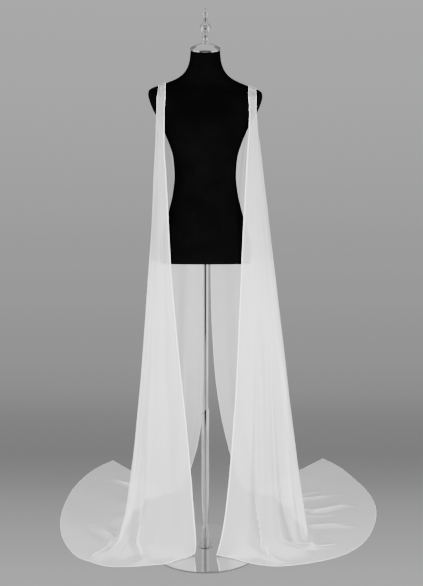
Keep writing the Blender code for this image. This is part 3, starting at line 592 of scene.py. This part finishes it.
def form_ring(level, sides, inset=0.0):
    """One section of the form, leaning with the shoulders and the neck."""
    angle = np.arange(sides) * 2 * pi / sides
    across, along = np.cos(angle), np.sin(angle)
    power = FORM.read("squareness", level)
    ray = (np.abs(across) ** power + np.abs(along) ** power) ** (-1 / power)
    x = (FORM.read("half_width", level) - inset) * across * ray
    depth = np.where(along > 0, FORM.read("back", level), FORM.read("front", level)) - inset
    y = depth * along * ray - np.where(along < 0, bust(x, level), 0) * np.sqrt(np.abs(along))
    neck = smooth((level - NECK_BASE) / (NECK_TOP - NECK_BASE))
    height = level - lean_at(level) * (1 - neck) * x + tan(NECK_TILT) * neck * y
    return np.stack([x, y + FORM.read("centre", level), height], axis=1)


# Cloth surface, as in the part but finer

def ground(x, y):
    """Height of what the cloth lies on: the base disc, a slope off its edge, the floor."""
    out = (np.hypot(x, y) - BASE_RADIUS - BASE_MARGIN) / BASE_SLOPE
    return (BASE_HEIGHT + SEAM_GAP) * (1 - smooth(out))


def share_across(turn, power=LEVEL_SQUARENESS):
    """How far over from the edge to the side a turn lies, and how far back."""
    swing = np.where(turn <= 1, turn, 2 - turn) ** TURN_EASE * pi / 2
    ray = (np.cos(swing) ** power + np.sin(swing) ** power) ** (-1 / power)
    return np.sin(swing) * ray, np.cos(swing) * ray


def hanging(levels, turn, height):
    """The wing above the bend: x outwards, y back."""
    foot = mix(FOOT_SQUARENESS, LEVEL_SQUARENESS, smooth(height / FOOT_RISE))
    across, along = share_across(turn, np.where(turn <= 1, LEVEL_SQUARENESS, foot))
    front = [levels.read(name, height) for name in ("front_x", "front_y", "front_side_y")]
    back = [levels.read(name, height) for name in ("back_x", "back_y", "back_side_y")]
    edge_x, edge_y, side_y = np.where(turn <= 1, front, back)
    x = mix(edge_x, levels.read("side_x", height), across)
    y = mix(side_y, edge_y, along)
    return np.stack([x, y, height], axis=-1)


def clear_of_form(points, side):
    """Moves points forwards or back until the form has its clearance."""
    x, y, z = np.moveaxis(points, -1, 0)
    behind = y > 0
    room = form_depth(side * x, z, behind, FORM_CLEARANCE)
    inside = (room > 0) & (z > FORM_BOTTOM - 2 * FORM_CLEARANCE)
    pushed = np.where(behind, np.maximum(y, room), np.minimum(y, -room))
    return np.stack([x, np.where(inside, pushed, y), z], axis=-1)


def landing(wing, turn, share):
    """The bend onto the floor, share 0 at its top and 1 where the cloth lies."""
    lift = wing["hem"].read("lift", turn)
    reach = wing["hem"].read("bend", turn)[..., None]
    start = hanging(wing["levels"], turn, np.full_like(turn, BEND_HEIGHT))
    foot = hanging(wing["levels"], turn, np.zeros_like(turn))
    foot[..., 2] = lift
    hem = np.stack([wing["hem"].read("x", turn), wing["hem"].read("y", turn), lift], axis=-1)
    laid = length(hem - foot)[..., None]
    end = foot + (hem - foot) / laid * np.minimum(reach, BEND_SHARE * laid)
    lead_in = mix(start, foot, BEND_IN)
    lead_out = mix(foot, end, BEND_OUT)
    w = share[..., None]
    return ((1 - w) ** 3 * start + 3 * (1 - w) ** 2 * w * lead_in
            + 3 * (1 - w) * w ** 2 * lead_out + w ** 3 * end), end, hem


def surface_directions(points, seam):
    """Unit normals and unit vectors across a grid; its two sides share them where they meet."""
    down = np.gradient(points, axis=0)
    across = np.gradient(points, axis=1)
    before, front, back, after = (points[:, seam + i] for i in (-2, -1, 0, 1))
    apart = length(back - front)[..., None] > SEAM_GAP
    across[:, seam - 1] = np.where(apart, front - before, after - before)
    across[:, seam] = np.where(apart, after - back, after - before)
    return unit(np.cross(down, across)), unit(across)


def folds(table, turn, drop, height):
    """The solids' large folds: how far each point stands out of the plain surface."""
    out = np.zeros_like(turn)
    drifted = smooth((drop - DRIFT_FROM) / (DRIFT_TO - DRIFT_FROM))
    for centre, drift, width, depth, top, fade, end in table.rows:
        started = smooth((top - height) / FOLD_START)
        over_floor = 1 - smooth((drop - fade) / (end - fade))
        away = turn - centre - drift * drifted
        out += depth * started * over_floor * np.exp(-(away / width) ** 2)
    return out


def gathers(wing, turn, drop):
    """Small pleats that run down out of the gathered band and die away."""
    strength = mix(1.0, 0.0, smooth(drop / GATHER_REACH))
    phase = 2 * pi * wing["pleats"] * (turn + GATHER_DRIFT * drop * np.sin(pi * turn))
    finer = FINER_DEPTH * np.sin(FINER_RATE * phase + FINER_DRIFT * turn)
    swaying = np.sin(phase + GATHER_SWAY * np.sin(SWAY_RATE * turn))
    return GATHER_DEPTH * strength * (swaying + finer)


def wing_grid(wing, turns, drops):
    """The wing's surface below its band, with the seam column where its back begins."""
    turn, drop = np.meshgrid(turns, drops)
    seam = int(np.sum(turns <= 1))
    height = mix(BAND_END, BEND_HEIGHT, np.clip(drop, 0, 1))
    hung = hanging(wing["levels"], turn, height)
    bent, end, hem = landing(wing, turn, np.clip(drop - 1, 0, 1))
    laid = mix(end, hem, np.clip(drop - 2, 0, 1)[..., None])
    points = np.where(drop[..., None] <= 1, hung, np.where(drop[..., None] <= 2, bent, laid))
    normal, across = surface_directions(points, seam)
    out = folds(wing["folds"], turn, drop, height) + gathers(wing, turn, drop)
    sideways = np.zeros_like(turn)
    for crease in wing["creases"]:
        rise, lean = crease.shape(turn, drop)
        out += rise
        sideways += lean
    points = points + normal * out[..., None] + across * sideways[..., None]
    points = clear_of_form(points, wing["side"])
    low = np.clip(1 - points[..., 2] / BEND_HEIGHT, 0, 1)
    rest = ground(points[..., 0], points[..., 1]) + CLOTH_LIFT
    points[..., 2] = np.maximum(points[..., 2] + rest * low, rest)
    return points, seam


def round_shoulder(side, x, angle):
    """Halves the way out of the shoulder until it finds the surface, then clears it."""
    inside, outside = np.zeros_like(x), np.full_like(x, ROUND_SHOULDER)
    for _ in range(HALVINGS):
        reach = (inside + outside) / 2
        y, z = -np.cos(angle) * reach, BAND_END + np.sin(angle) * reach
        covered = np.abs(y) < form_depth(side * x, z, y > 0)
        inside = np.where(covered, reach, inside)
        outside = np.where(covered, outside, reach)
    reach = outside + FORM_CLEARANCE
    return np.stack([x, -np.cos(angle) * reach, BAND_END + np.sin(angle) * reach], axis=-1)


def band_grid(wing, front_top, back_top, columns):
    """The gathered band from the front stretch's top row over the shoulder to the back's."""
    share = share_across(columns)[0]
    angles = np.linspace(0, pi, BAND_ROWS)
    across, angle = np.meshgrid(share, angles)
    over = np.sin(angle)
    ends = np.where(angle < pi / 2, wing["levels"].read("front_x", BAND_END),
                    wing["levels"].read("back_x", BAND_END))
    inner = mix(ends, wing["top_inner"], over)
    outer = mix(wing["levels"].read("side_x", BAND_END), wing["top_outer"], over)
    points = round_shoulder(wing["side"], mix(inner, outer, across), angle)
    out = np.stack([np.zeros_like(angle), -np.cos(angle), np.sin(angle)], axis=-1)
    pleat = np.sin(2 * pi * wing["pleats"] * columns)[None, :] * BAND_PLEAT
    points = points + out * (pleat + BAND_PLEAT)[..., None]
    for row, top in ((0, front_top), (-1, back_top)):
        near = 1 - smooth(np.abs(angles - angles[row]) / BAND_BLEND)
        points = points + (top - points[row])[None] * near[:, None, None]
    return points


# Meshes

def add_object(name, data):
    """Puts a mesh, lamp or camera in the scene."""
    thing = bpy.data.objects.new(name, data)
    bpy.context.scene.collection.objects.link(thing)
    return thing


def add_piece(name, points, faces, finish, uv=None):
    """A smooth piece of the part, which rides on its one body."""
    mesh = bpy.data.meshes.new(name)
    faces = [[int(corner) for corner in face] for face in faces]
    mesh.from_pydata(np.asarray(points, dtype=float).tolist(), [], faces)
    mesh.validate()
    mesh.shade_smooth()
    if uv is not None:
        layer = mesh.uv_layers.new(name="cloth")
        corners = np.zeros(len(mesh.loops), dtype=np.int32)
        mesh.loops.foreach_get("vertex_index", corners)
        layer.data.foreach_set("uv", np.asarray(uv, dtype=np.float32)[corners].ravel())
    mesh.materials.append(finish)
    piece = add_object(name, mesh)
    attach(piece, "root")
    return piece


def stand_in(piece, node, sharp=SHARP):
    """Marks the piece's sharp edges and hides the CAD node that it stands for."""
    piece.data.set_sharp_from_angle(angle=sharp)
    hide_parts(node)


def quarter(steps):
    """Angles of a quarter turn, both ends included."""
    return np.linspace(0, pi / 2, steps + 1)


def circle(radius, height, sides, centre=(0, 0, 0)):
    """A level ring of points."""
    return [(centre[0] + radius * cos(2 * pi * i / sides),
             centre[1] + radius * sin(2 * pi * i / sides), centre[2] + height)
            for i in range(sides)]


def skin(loops):
    """Points and faces over a stack of loops, which ends in single points or where it began."""
    closed = loops[0] is loops[-1]
    stack = loops[:-1] if closed else loops
    starts = np.cumsum([0] + [len(loop) for loop in stack])
    faces = []
    for low in range(len(loops) - 1):
        high = (low + 1) % len(stack)
        for i in range(max(len(stack[low]), len(stack[high]))):
            corners = [(low, i), (low, i + 1), (high, i + 1), (high, i)]
            face = [int(starts[k] + step % len(stack[k])) for k, step in corners]
            faces.append(list(dict.fromkeys(face)))
    return [point for loop in stack for point in loop], faces


def grid_faces(first, rows, columns):
    """Four-cornered faces over a grid of points numbered from first."""
    grid = first + np.arange(rows * columns).reshape(rows, columns)
    return np.stack([grid[:-1, :-1], grid[:-1, 1:], grid[1:, 1:], grid[1:, :-1]],
                    axis=-1).reshape(-1, 4)


def weld(points, faces, uv):
    """Joins points that coincide, and leaves out the faces that this collapses or doubles."""
    keys = np.round(points / WELD).astype(np.int64)
    _, first, back = np.unique(keys, axis=0, return_index=True, return_inverse=True)
    faces = back.ravel()[faces]
    corners = np.sort(faces, axis=1)
    whole = np.flatnonzero(np.all(np.diff(corners, axis=1) > 0, axis=1))
    single = np.unique(corners, axis=0, return_index=True)[1]
    return points[first], faces[np.intersect1d(whole, single)], uv[first]


# Finishes

class Value:
    """One output in a finish's nodes; sums and products with it add Math nodes."""

    def __init__(self, finish, output):
        self.finish = finish
        self.output = output

    def math(self, operation, *values):
        inputs = dict(enumerate(values))
        return self.finish.add("ShaderNodeMath", {"operation": operation}, inputs)

    def __add__(self, other):
        return self.math("ADD", self, other)

    def __sub__(self, other):
        return self.math("SUBTRACT", self, other)

    def __rsub__(self, other):
        return self.math("SUBTRACT", other, self)

    def __mul__(self, other):
        return self.math("MULTIPLY", self, other)

    __radd__ = __add__
    __rmul__ = __mul__

    def sine(self):
        return self.math("SINE", self)


class Finish:
    """Nodes of a material or the world, each added with its settings and then its sockets."""

    def __init__(self, owner, shader="Principled BSDF", **sockets):
        owner.use_nodes = True
        self.owner = owner
        self.tree = owner.node_tree
        self.shader = self.tree.nodes[shader]
        self.surface(**sockets)

    def add(self, kind, settings=(), inputs=(), output=0):
        node = self.tree.nodes.new(kind)
        for setting, value in dict(settings).items():
            if setting == "stops":
                self.set_stops(node.color_ramp, value)
            else:
                setattr(node, setting, value)
        for socket, value in dict(inputs).items():
            self.feed(node.inputs[socket], value)
        return Value(self, node.outputs[output])

    def set_stops(self, ramp, stops):
        while len(ramp.elements) < len(stops):
            ramp.elements.new(1.0)
        for element, (place, tone) in zip(ramp.elements, stops):
            element.position = place
            element.color = (tone, tone, tone, 1.0)

    def feed(self, socket, value):
        if isinstance(value, Value):
            self.tree.links.new(value.output, socket)
        else:
            socket.default_value = value

    def surface(self, **sockets):
        """Feeds the shader's sockets, named with underscores for their spaces."""
        for name, value in sockets.items():
            self.feed(self.shader.inputs[name.replace("_", " ")], value)

    def place(self, kind="Object"):
        """Position on the piece in metres, or another kind of coordinates."""
        if kind == "cloth":
            return self.add("ShaderNodeUVMap", {"uv_map": "cloth"})
        return self.add("ShaderNodeTexCoord", output=kind)

    def axes(self, vector):
        """The vector's three parts."""
        node = self.add("ShaderNodeSeparateXYZ", inputs={"Vector": vector})
        outputs = node.output.node.outputs
        return [Value(self, outputs[axis]) for axis in "XYZ"]

    def noise(self, vector, scale, detail):
        return self.add("ShaderNodeTexNoise", {"noise_dimensions": "3D"},
                        {"Vector": vector, "Scale": scale, "Detail": detail})

    def stretched(self, vector, scale):
        return self.add("ShaderNodeVectorMath", {"operation": "MULTIPLY"},
                        {0: vector, 1: scale})

    def between(self, factor, low, high):
        """A colour from low where the factor is 0 to high where it is 1."""
        return self.add("ShaderNodeMix", {"data_type": "RGBA"},
                        {"Factor": factor, "A": (*low, 1.0), "B": (*high, 1.0)}, "Result")

    def ramp(self, factor, *stops):
        """A grey that changes with the factor through (place, tone) stops."""
        return self.add("ShaderNodeValToRGB", {"stops": stops}, {"Fac": factor})

    def bump(self, height, strength, distance):
        self.surface(Normal=self.add("ShaderNodeBump", inputs={
            "Height": height, "Strength": strength, "Distance": distance}, output="Normal"))


def chiffon(name, cover, sheen):
    """Sheer crepe: a fine uneven weave, a little denser along its slubs."""
    finish = Finish(bpy.data.materials.new(name), Roughness=0.62, Sheen_Weight=sheen,
                    Sheen_Roughness=0.45, Specular_IOR_Level=0.25)
    cloth = finish.place("cloth")
    along, down, _ = finish.axes(cloth)
    slubs = finish.noise(finish.stretched(cloth, SLUBS), scale=1.0, detail=2.0)
    clouds = finish.noise(finish.place(), scale=7.0, detail=2.0)
    weave = (along * (2 * pi / THREAD)).sine() * (down * (2 * pi / THREAD)).sine()
    uneven = (slubs - 0.5) * SLUB_COVER + (clouds - 0.5) * CLOUD_COVER + weave * WEAVE_COVER
    finish.surface(Alpha=uneven + cover, Base_Color=finish.between(clouds, *CLOTH_WHITES))
    finish.bump(weave * WEAVE_HEIGHT + slubs, strength=0.25, distance=0.0004)
    return finish.owner


def black_jersey():
    """Stretch jersey: fine ribs of stitches and a trace of lint."""
    finish = Finish(bpy.data.materials.new("black_jersey"), Roughness=0.85,
                    Specular_IOR_Level=0.0)
    place = finish.place()
    x, y, z = finish.axes(place)
    ribs = ((x + y) * (2 * pi / STITCH)).sine() * (z * (2 * pi / STITCH)).sine()
    lint = finish.noise(place, scale=900.0, detail=2.0)
    wear = finish.noise(place, scale=14.0, detail=4.0)
    worn = finish.ramp(mix(lint, wear, WEAR_SHARE), *WORN_STOPS)
    finish.surface(Base_Color=finish.between(worn, *JERSEY_BLACKS))
    finish.bump(ribs * RIB_HEIGHT + lint, strength=0.3, distance=0.0004)
    return finish.owner


def chrome(name, tone, roughness):
    """Polished plate with faint wipe marks and a slightly uneven surface."""
    finish = Finish(bpy.data.materials.new(name), Metallic=1.0)
    place = finish.place()
    smears = finish.noise(finish.stretched(place, SMEARS), scale=1.0, detail=4.0)
    dust = finish.noise(place, scale=220.0, detail=3.0)
    spots = finish.ramp(dust, *DUST_STOPS)
    finish.surface(Roughness=smears * SMEAR_DULLING + spots * DUST_DULLING + roughness)
    wiped = tone + SMEAR_GAIN
    finish.surface(Base_Color=finish.between(
        smears, (tone, tone, tone * TINT), (wiped, wiped, wiped + SMEAR_TINT)))
    finish.bump(finish.noise(place, scale=22.0, detail=2.0), strength=0.05, distance=0.0006)
    return finish.owner


def painted_light_and_shade_by_depth(name):
    """The studio floor, whose tone changes with its depth behind the form: its glow is painted
    light, and its darker band behind the form is painted shade.
    """
    finish = Finish(bpy.data.materials.new(name), Roughness=0.9, Specular_IOR_Level=0.0,
                    Base_Color=(FLOOR_GREY, FLOOR_GREY, FLOOR_GREY, 1.0), Emission_Strength=1.0)
    _, depth, _ = finish.axes(finish.place())
    low, high = FLOOR_PAINTED_LIGHT_AND_SHADE.column("depth")[[0, -1]]
    stops = [((at - low) / (high - low), tone_to_light(tone)) for at, tone in FLOOR_PAINTED_LIGHT_AND_SHADE.rows]
    # The emitted tone is painted light, with painted shade in the darker band behind the form
    finish.surface(Emission_Color=finish.ramp((depth - low) * (1 / (high - low)), *stops))
    return finish.owner


def tone_to_light(tone):
    """Light that the default view shows as a tone from 0 to 1."""
    return float(VIEW_TONES.read("light", tone))


# Pieces

def stole_wing(name, wing, finish, hem_finish):
    """One wing as a single sheet with its band, and its rolled hems."""
    turns = np.concatenate([np.linspace(0, 1, TURN_COLUMNS // 2),
                            np.linspace(JUST_PAST, 2, TURN_COLUMNS // 2)])
    drops = np.concatenate([np.linspace(0, 1, HANGING_ROWS) ** DROP_EASE,
                            np.linspace(1, 2, BEND_ROWS)[1:], np.linspace(2, 3, TRAIN_ROWS)[1:]])
    points, seam = wing_grid(wing, turns, drops)
    front, back = points[:, :seam], points[:, seam:]
    band = band_grid(wing, front[0], back[0, ::-1], turns[:seam])
    points, faces, uv, first = [], [], [], 0
    for grid, turn in ((front, turns[:seam]), (back, turns[seam:]), (band, turns[:seam])):
        rows, columns = grid.shape[:2]
        quads = grid_faces(first, rows, columns)
        faces.append(quads[:, ::-1] if grid is band else quads)
        first += rows * columns
        down = np.cumsum(length(np.diff(grid, axis=0, prepend=grid[:1])), axis=0)
        across = np.broadcast_to(turn * CLOTH_HALF_WIDTH, down.shape)
        uv.append(np.stack([across, down], axis=-1).reshape(-1, 2))
        points.append(grid.reshape(-1, 3) * (wing["side"], 1, 1))
    points, faces, uv = weld(*map(np.concatenate, (points, faces, uv)))
    cloth = add_piece(name + "_wing", points, faces, finish, uv)
    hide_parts(*(name + stretch for stretch in ("_front", "_back", "_train", "_shoulder")))
    return cloth, wing_hems(name, wing, front, back, band, turns, hem_finish)


def hem_tube(border, inward, normal, width):
    """A flattened closed tube that runs round a loop of border points."""
    angle = np.arange(HEM_SIDES) * 2 * pi / HEM_SIDES
    half = width[:, None, None] / 2
    loops = (border[:, None] + inward[:, None] * half * (1 + np.cos(angle))[None, :, None]
             + normal[:, None] * half * HEM_FLATNESS * np.sin(angle)[None, :, None])
    rows = np.arange(len(border))
    here, there = rows * HEM_SIDES, np.roll(rows, -1) * HEM_SIDES
    faces = []
    for side in range(HEM_SIDES):
        after = (side + 1) % HEM_SIDES
        faces.append(np.stack([here + side, here + after, there + after, there + side], axis=-1))
    return loops.reshape(-1, 3), np.concatenate(faces)


def wing_hems(name, wing, front, back, band, turns, finish):
    """The rolled hem: one loop round the wing and one round its armhole."""
    seam = front.shape[1]
    beside = seam // HEM_INSET_SHARE
    top = int(np.sum(length(front[:, -1] - back[:, 0]) > SEAM_GAP))
    at_front, at_back = turns[:seam], turns[seam:]
    outer = [(front[::-1, 0], front[::-1, beside], 0.0),
             (band[1:-1, 0], band[1:-1, beside], BAND_TURN),
             (back[:, -1], back[:, -1 - beside], 2.0),
             (back[-1, -2::-1], back[-2, -2::-1], at_back[-2::-1]),
             (front[-1, ::-1], front[-2, ::-1], at_front[::-1])]
    armhole = [(front[top - 1::-1, -1], front[top - 1::-1, -1 - beside], BAND_TURN),
               (band[1:-1, -1], band[1:-1, -1 - beside], BAND_TURN),
               (back[:top, 0], back[:top, beside], BAND_TURN)]
    pieces = []
    for label, runs in (("_hem", outer), ("_armhole_hem", armhole)):
        loop = np.concatenate([
            np.column_stack([edge, unit(inside - edge), np.broadcast_to(turn, len(edge))])
            for edge, inside, turn in runs])
        loop = evenly(loop, HEM_STEP)
        border, inward, width = loop[:, :3], loop[:, 3:6], HEM_WIDTHS.read("width", loop[:, 6])
        inward = unit(sum(np.roll(inward, shift, axis=0) for shift in HEM_EVENING))
        along = unit(np.roll(border, -1, axis=0) - np.roll(border, 1, axis=0))
        normal = unit(np.cross(along, inward))
        inward = unit(np.cross(normal, along))
        low = ground(border[:, 0], border[:, 1]) + width * HEM_FLATNESS / 2
        border[:, 2] = np.maximum(border[:, 2], low)
        points, faces = hem_tube(border, inward, normal, width)
        piece = add_piece(name + label, points * (wing["side"], 1, 1), faces, finish)
        pieces.append(piece)
    return pieces


def evenly(loop, step):
    """A closed run of rows that start with a point, taken again at an even step."""
    ring = np.concatenate([loop, loop[:1]])
    gone = np.concatenate([[0], np.cumsum(length(np.diff(ring[:, :3], axis=0)))])
    at = np.linspace(0, gone[-1], int(gone[-1] / step), endpoint=False)
    return np.stack([np.interp(at, gone, column) for column in ring.T], axis=1)


def turned(name, outline, finish, node, sides, place=(0, 0, 0), hole=False):
    """A turned piece from (radius, height) pairs that stands for its CAD node."""
    loops = [circle(radius, height, sides, place) for radius, height in outline]
    if hole:
        loops.append(loops[0])
    else:
        low, high = ([(place[0], place[1], place[2] + outline[end][1])] for end in (0, -1))
        loops = [low, *loops, high]
    stand_in(add_piece(name, *skin(loops), finish), node)


def read_outline(table, levels, low=0.0):
    """Pairs for a turned piece, from a table of radii by height."""
    heights = np.linspace(0, table.column("height")[-1], levels)
    return list(zip(table.read("radius", heights), low + heights))


def rounded(radius, low, high, edge):
    """Outline of a short cylinder with rounded edges, from its lower face up."""
    angles = quarter(ROUND_STEPS)
    bottom = [(radius - edge * (1 - sin(a)), low + edge * (1 - cos(a))) for a in angles]
    top = [(radius - edge * (1 - cos(a)), high - edge * (1 - sin(a))) for a in angles]
    flat = radius - 2 * edge
    return [(flat, low), *bottom, *top, (flat, high)]


def dress_form(finish):
    """The padded body in its jersey cover, with a rounded lower edge and the pole's socket."""
    bore, roof = POLE_RADIUS + SEAM_GAP, FORM_BOTTOM + POLE_SOCKET
    loops = [[(0, 0, roof)], circle(bore, roof, FORM_SIDES), circle(bore, FORM_BOTTOM, FORM_SIDES)]
    for angle in quarter(EDGE_STEPS):
        level = FORM_BOTTOM + FORM_EDGE * (1 - cos(angle))
        loops.append(form_ring(level, FORM_SIDES, FORM_EDGE * (1 - sin(angle))))
    heights = FORM.column("height")
    levels = np.linspace(FORM_BOTTOM + FORM_EDGE, heights[-1], FORM_LEVELS)[1:]
    close = heights[(heights > CLOSE_FROM) & (heights < CLOSE_TO)]
    levels = np.unique(np.concatenate([levels, close, (close[1:] + close[:-1]) / 2]))
    loops += [form_ring(level, FORM_SIDES) for level in levels]
    loops.append([np.mean(loops[-1], axis=0)])
    body = add_piece("dress_form", *skin(loops), finish)
    stand_in(body, "form_torso", FORM_SHARP)


def neck_cap(finish):
    """The domed lid, level at its top and sloping at its rim; returns the finial's seat."""
    _, middle, neck = form_ring(NECK_TOP, NECK_SIDES).mean(axis=0)
    base = neck + SEAM_GAP / cos(NECK_TILT)
    shape = [(CAP_RADIUS - LIP, 0, 1), (CAP_RADIUS, LIP, 1), (CAP_RADIUS, CAP_BAND, 1)]
    for angle in quarter(CAP_STEPS)[1:]:
        shape.append((mix(CAP_RADIUS, FINIAL_SEAT, 1 - cos(angle)),
                      mix(CAP_BAND, CAP_RISE, sin(angle)), 1 - smooth(angle / (pi / 2))))
    loops = [[(x, y, z + tan(NECK_TILT) * tilted * (y - middle))
              for x, y, z in circle(radius, rise, FORM_SIDES, (0, middle, base))]
             for radius, rise, tilted in shape]
    top = base + CAP_RISE
    cap = add_piece("neck_lid", *skin([[(0, middle, base)], *loops, [(0, middle, top)]]), finish)
    stand_in(cap, "neck_cap")
    return (0, middle, top + SEAM_GAP)


def stand(finish, worn, mirror, seat):
    """Finial, base disc, collar, sleeve and the pole that slides in it."""
    turned("turned_finial", read_outline(FINIAL, FINIAL_LEVELS), finish, "finial",
           FINIAL_SIDES, seat)
    turned("mirror_base", rounded(BASE_RADIUS, 0, BASE_HEIGHT, BASE_EDGE), mirror,
           "base_disc", DISC_SIDES)
    foot = BASE_HEIGHT + SEAM_GAP
    bore = SLEEVE_RADIUS + SEAM_GAP
    outside = read_outline(COLLAR, COLLAR_LEVELS, foot)
    turned("collar", [(bore, foot), *outside, (bore, outside[-1][1])], worn,
           "base_collar", TUBE_SIDES, hole=True)
    well = SLEEVE_TOP - POLE_OVERLAP
    slide = POLE_RADIUS + SEAM_GAP
    lip = [(SLEEVE_RADIUS - LIP * (1 - cos(a)), SLEEVE_TOP - LIP * (1 - sin(a)))
           for a in quarter(LIP_STEPS)]
    turned("sleeve", [(SLEEVE_RADIUS, foot), *lip, (slide, SLEEVE_TOP), (slide, well)],
           finish, "pole_lower", TUBE_SIDES)
    ends = (well + SEAM_GAP, FORM_BOTTOM + POLE_SOCKET - SEAM_GAP)
    turned("sliding_pole", [(POLE_RADIUS, end) for end in ends], finish, "pole_upper", TUBE_SIDES)


def set_screw(finish):
    """A small round head with a milled edge, on its shank."""
    way = np.array([-sin(SCREW_TURN), -cos(SCREW_TURN), 0.0])
    side = np.array([cos(SCREW_TURN), -sin(SCREW_TURN), 0.0])
    up = np.array([0.0, 0.0, 1.0])
    seat = way * (SLEEVE_RADIUS + SEAM_GAP) + up * (SLEEVE_TOP - SCREW_DROP)
    loops = [[seat]]
    for radius, height, milled in SCREW_HEAD:
        ring = []
        for i in range(SCREW_SIDES):
            reach = radius - milled * (MILLING if i % MILLING_PITCH == 0 else 0.0)
            turn = 2 * pi * i / SCREW_SIDES
            ring.append(seat + way * height + side * reach * cos(turn) + up * reach * sin(turn))
        loops.append(ring)
    loops.append([seat + way * SCREW_HEAD[-1][1]])
    stand_in(add_piece("set_screw", *skin(loops), finish), "pole_screw")


# Studio

def add_card(name, corners, finish):
    """A flat sheet of the studio, which is no piece of the part."""
    mesh = bpy.data.meshes.new(name)
    mesh.from_pydata(corners, [], [(0, 1, 2, 3)])
    mesh.materials.append(finish)
    card = add_object(name, mesh)
    return card


def studio():
    """Floor, air, lamps that reflections don't see, and cards that only they see."""
    corners = [(x * FLOOR_HALF, y * FLOOR_HALF, -FLOOR_GAP)
               for x, y in ((-1, -1), (1, -1), (1, 1), (-1, 1))]
    # The floor's glow by depth is painted light, darker behind the form with painted shade
    add_card("studio_floor", corners, painted_light_and_shade_by_depth("floor_painted_light_and_shade"))
    for name, corners, glow in CARDS:
        paint = Finish(bpy.data.materials.new(name + "_paint"), Base_Color=CARD_BLACK,
                       Roughness=1.0, Emission_Color=CARD_WHITE, Emission_Strength=glow)
        card = add_card(name, corners, paint.owner)
        for ray in ("camera", "diffuse", "transmission", "shadow"):
            setattr(card, "visible_" + ray, False)
    for name, place, aim, size, power in LIGHTS:
        light = bpy.data.lights.new(name, "AREA")
        light.shape = "RECTANGLE"
        light.size, light.size_y = size
        light.energy = power
        lamp = add_object(name, light)
        lamp.location = place
        away = Vector(place) - Vector(aim)
        lamp.rotation_euler = away.to_track_quat("Z", "Y").to_euler()
        lamp.visible_camera = False
        lamp.visible_glossy = False
    air = Finish(bpy.data.worlds.new("studio_air"), "Background")
    bpy.context.scene.world = air.owner
    rise = air.axes(air.place("Generated"))[2]
    stops = [(at, tone_to_light(tone)) for at, tone in AIR_TONES.rows]
    air.surface(Color=air.ramp(rise, *stops))


def camera():
    """The fitted view of the part's front."""
    lens = bpy.data.cameras.new("camera")
    lens.sensor_width = CAMERA_SENSOR
    lens.lens = CAMERA_LENS
    lens.shift_x = CAMERA_SHIFT
    eye = add_object("camera", lens)
    eye.location = CAMERA_PLACE
    eye.rotation_euler = (pi / 2 - CAMERA_TILT, 0, 0)
    bpy.context.scene.camera = eye


def main():
    plate = chrome("polished_chrome", 0.80, 0.05)
    worn = chrome("worn_chrome", 0.45, 0.08)
    mirror = chrome("mirror_steel", 0.46, 0.015)
    dress_form(black_jersey())
    stand(plate, worn, mirror, neck_cap(plate))
    set_screw(plate)
    cloth = chiffon("white_chiffon", 0.35, 0.25)
    rolled = chiffon("rolled_hem", 0.90, 0.35)
    for name, wing in WINGS.items():
        sheet, hems = stole_wing(name, wing, cloth, rolled)
    studio()
    camera()


main()
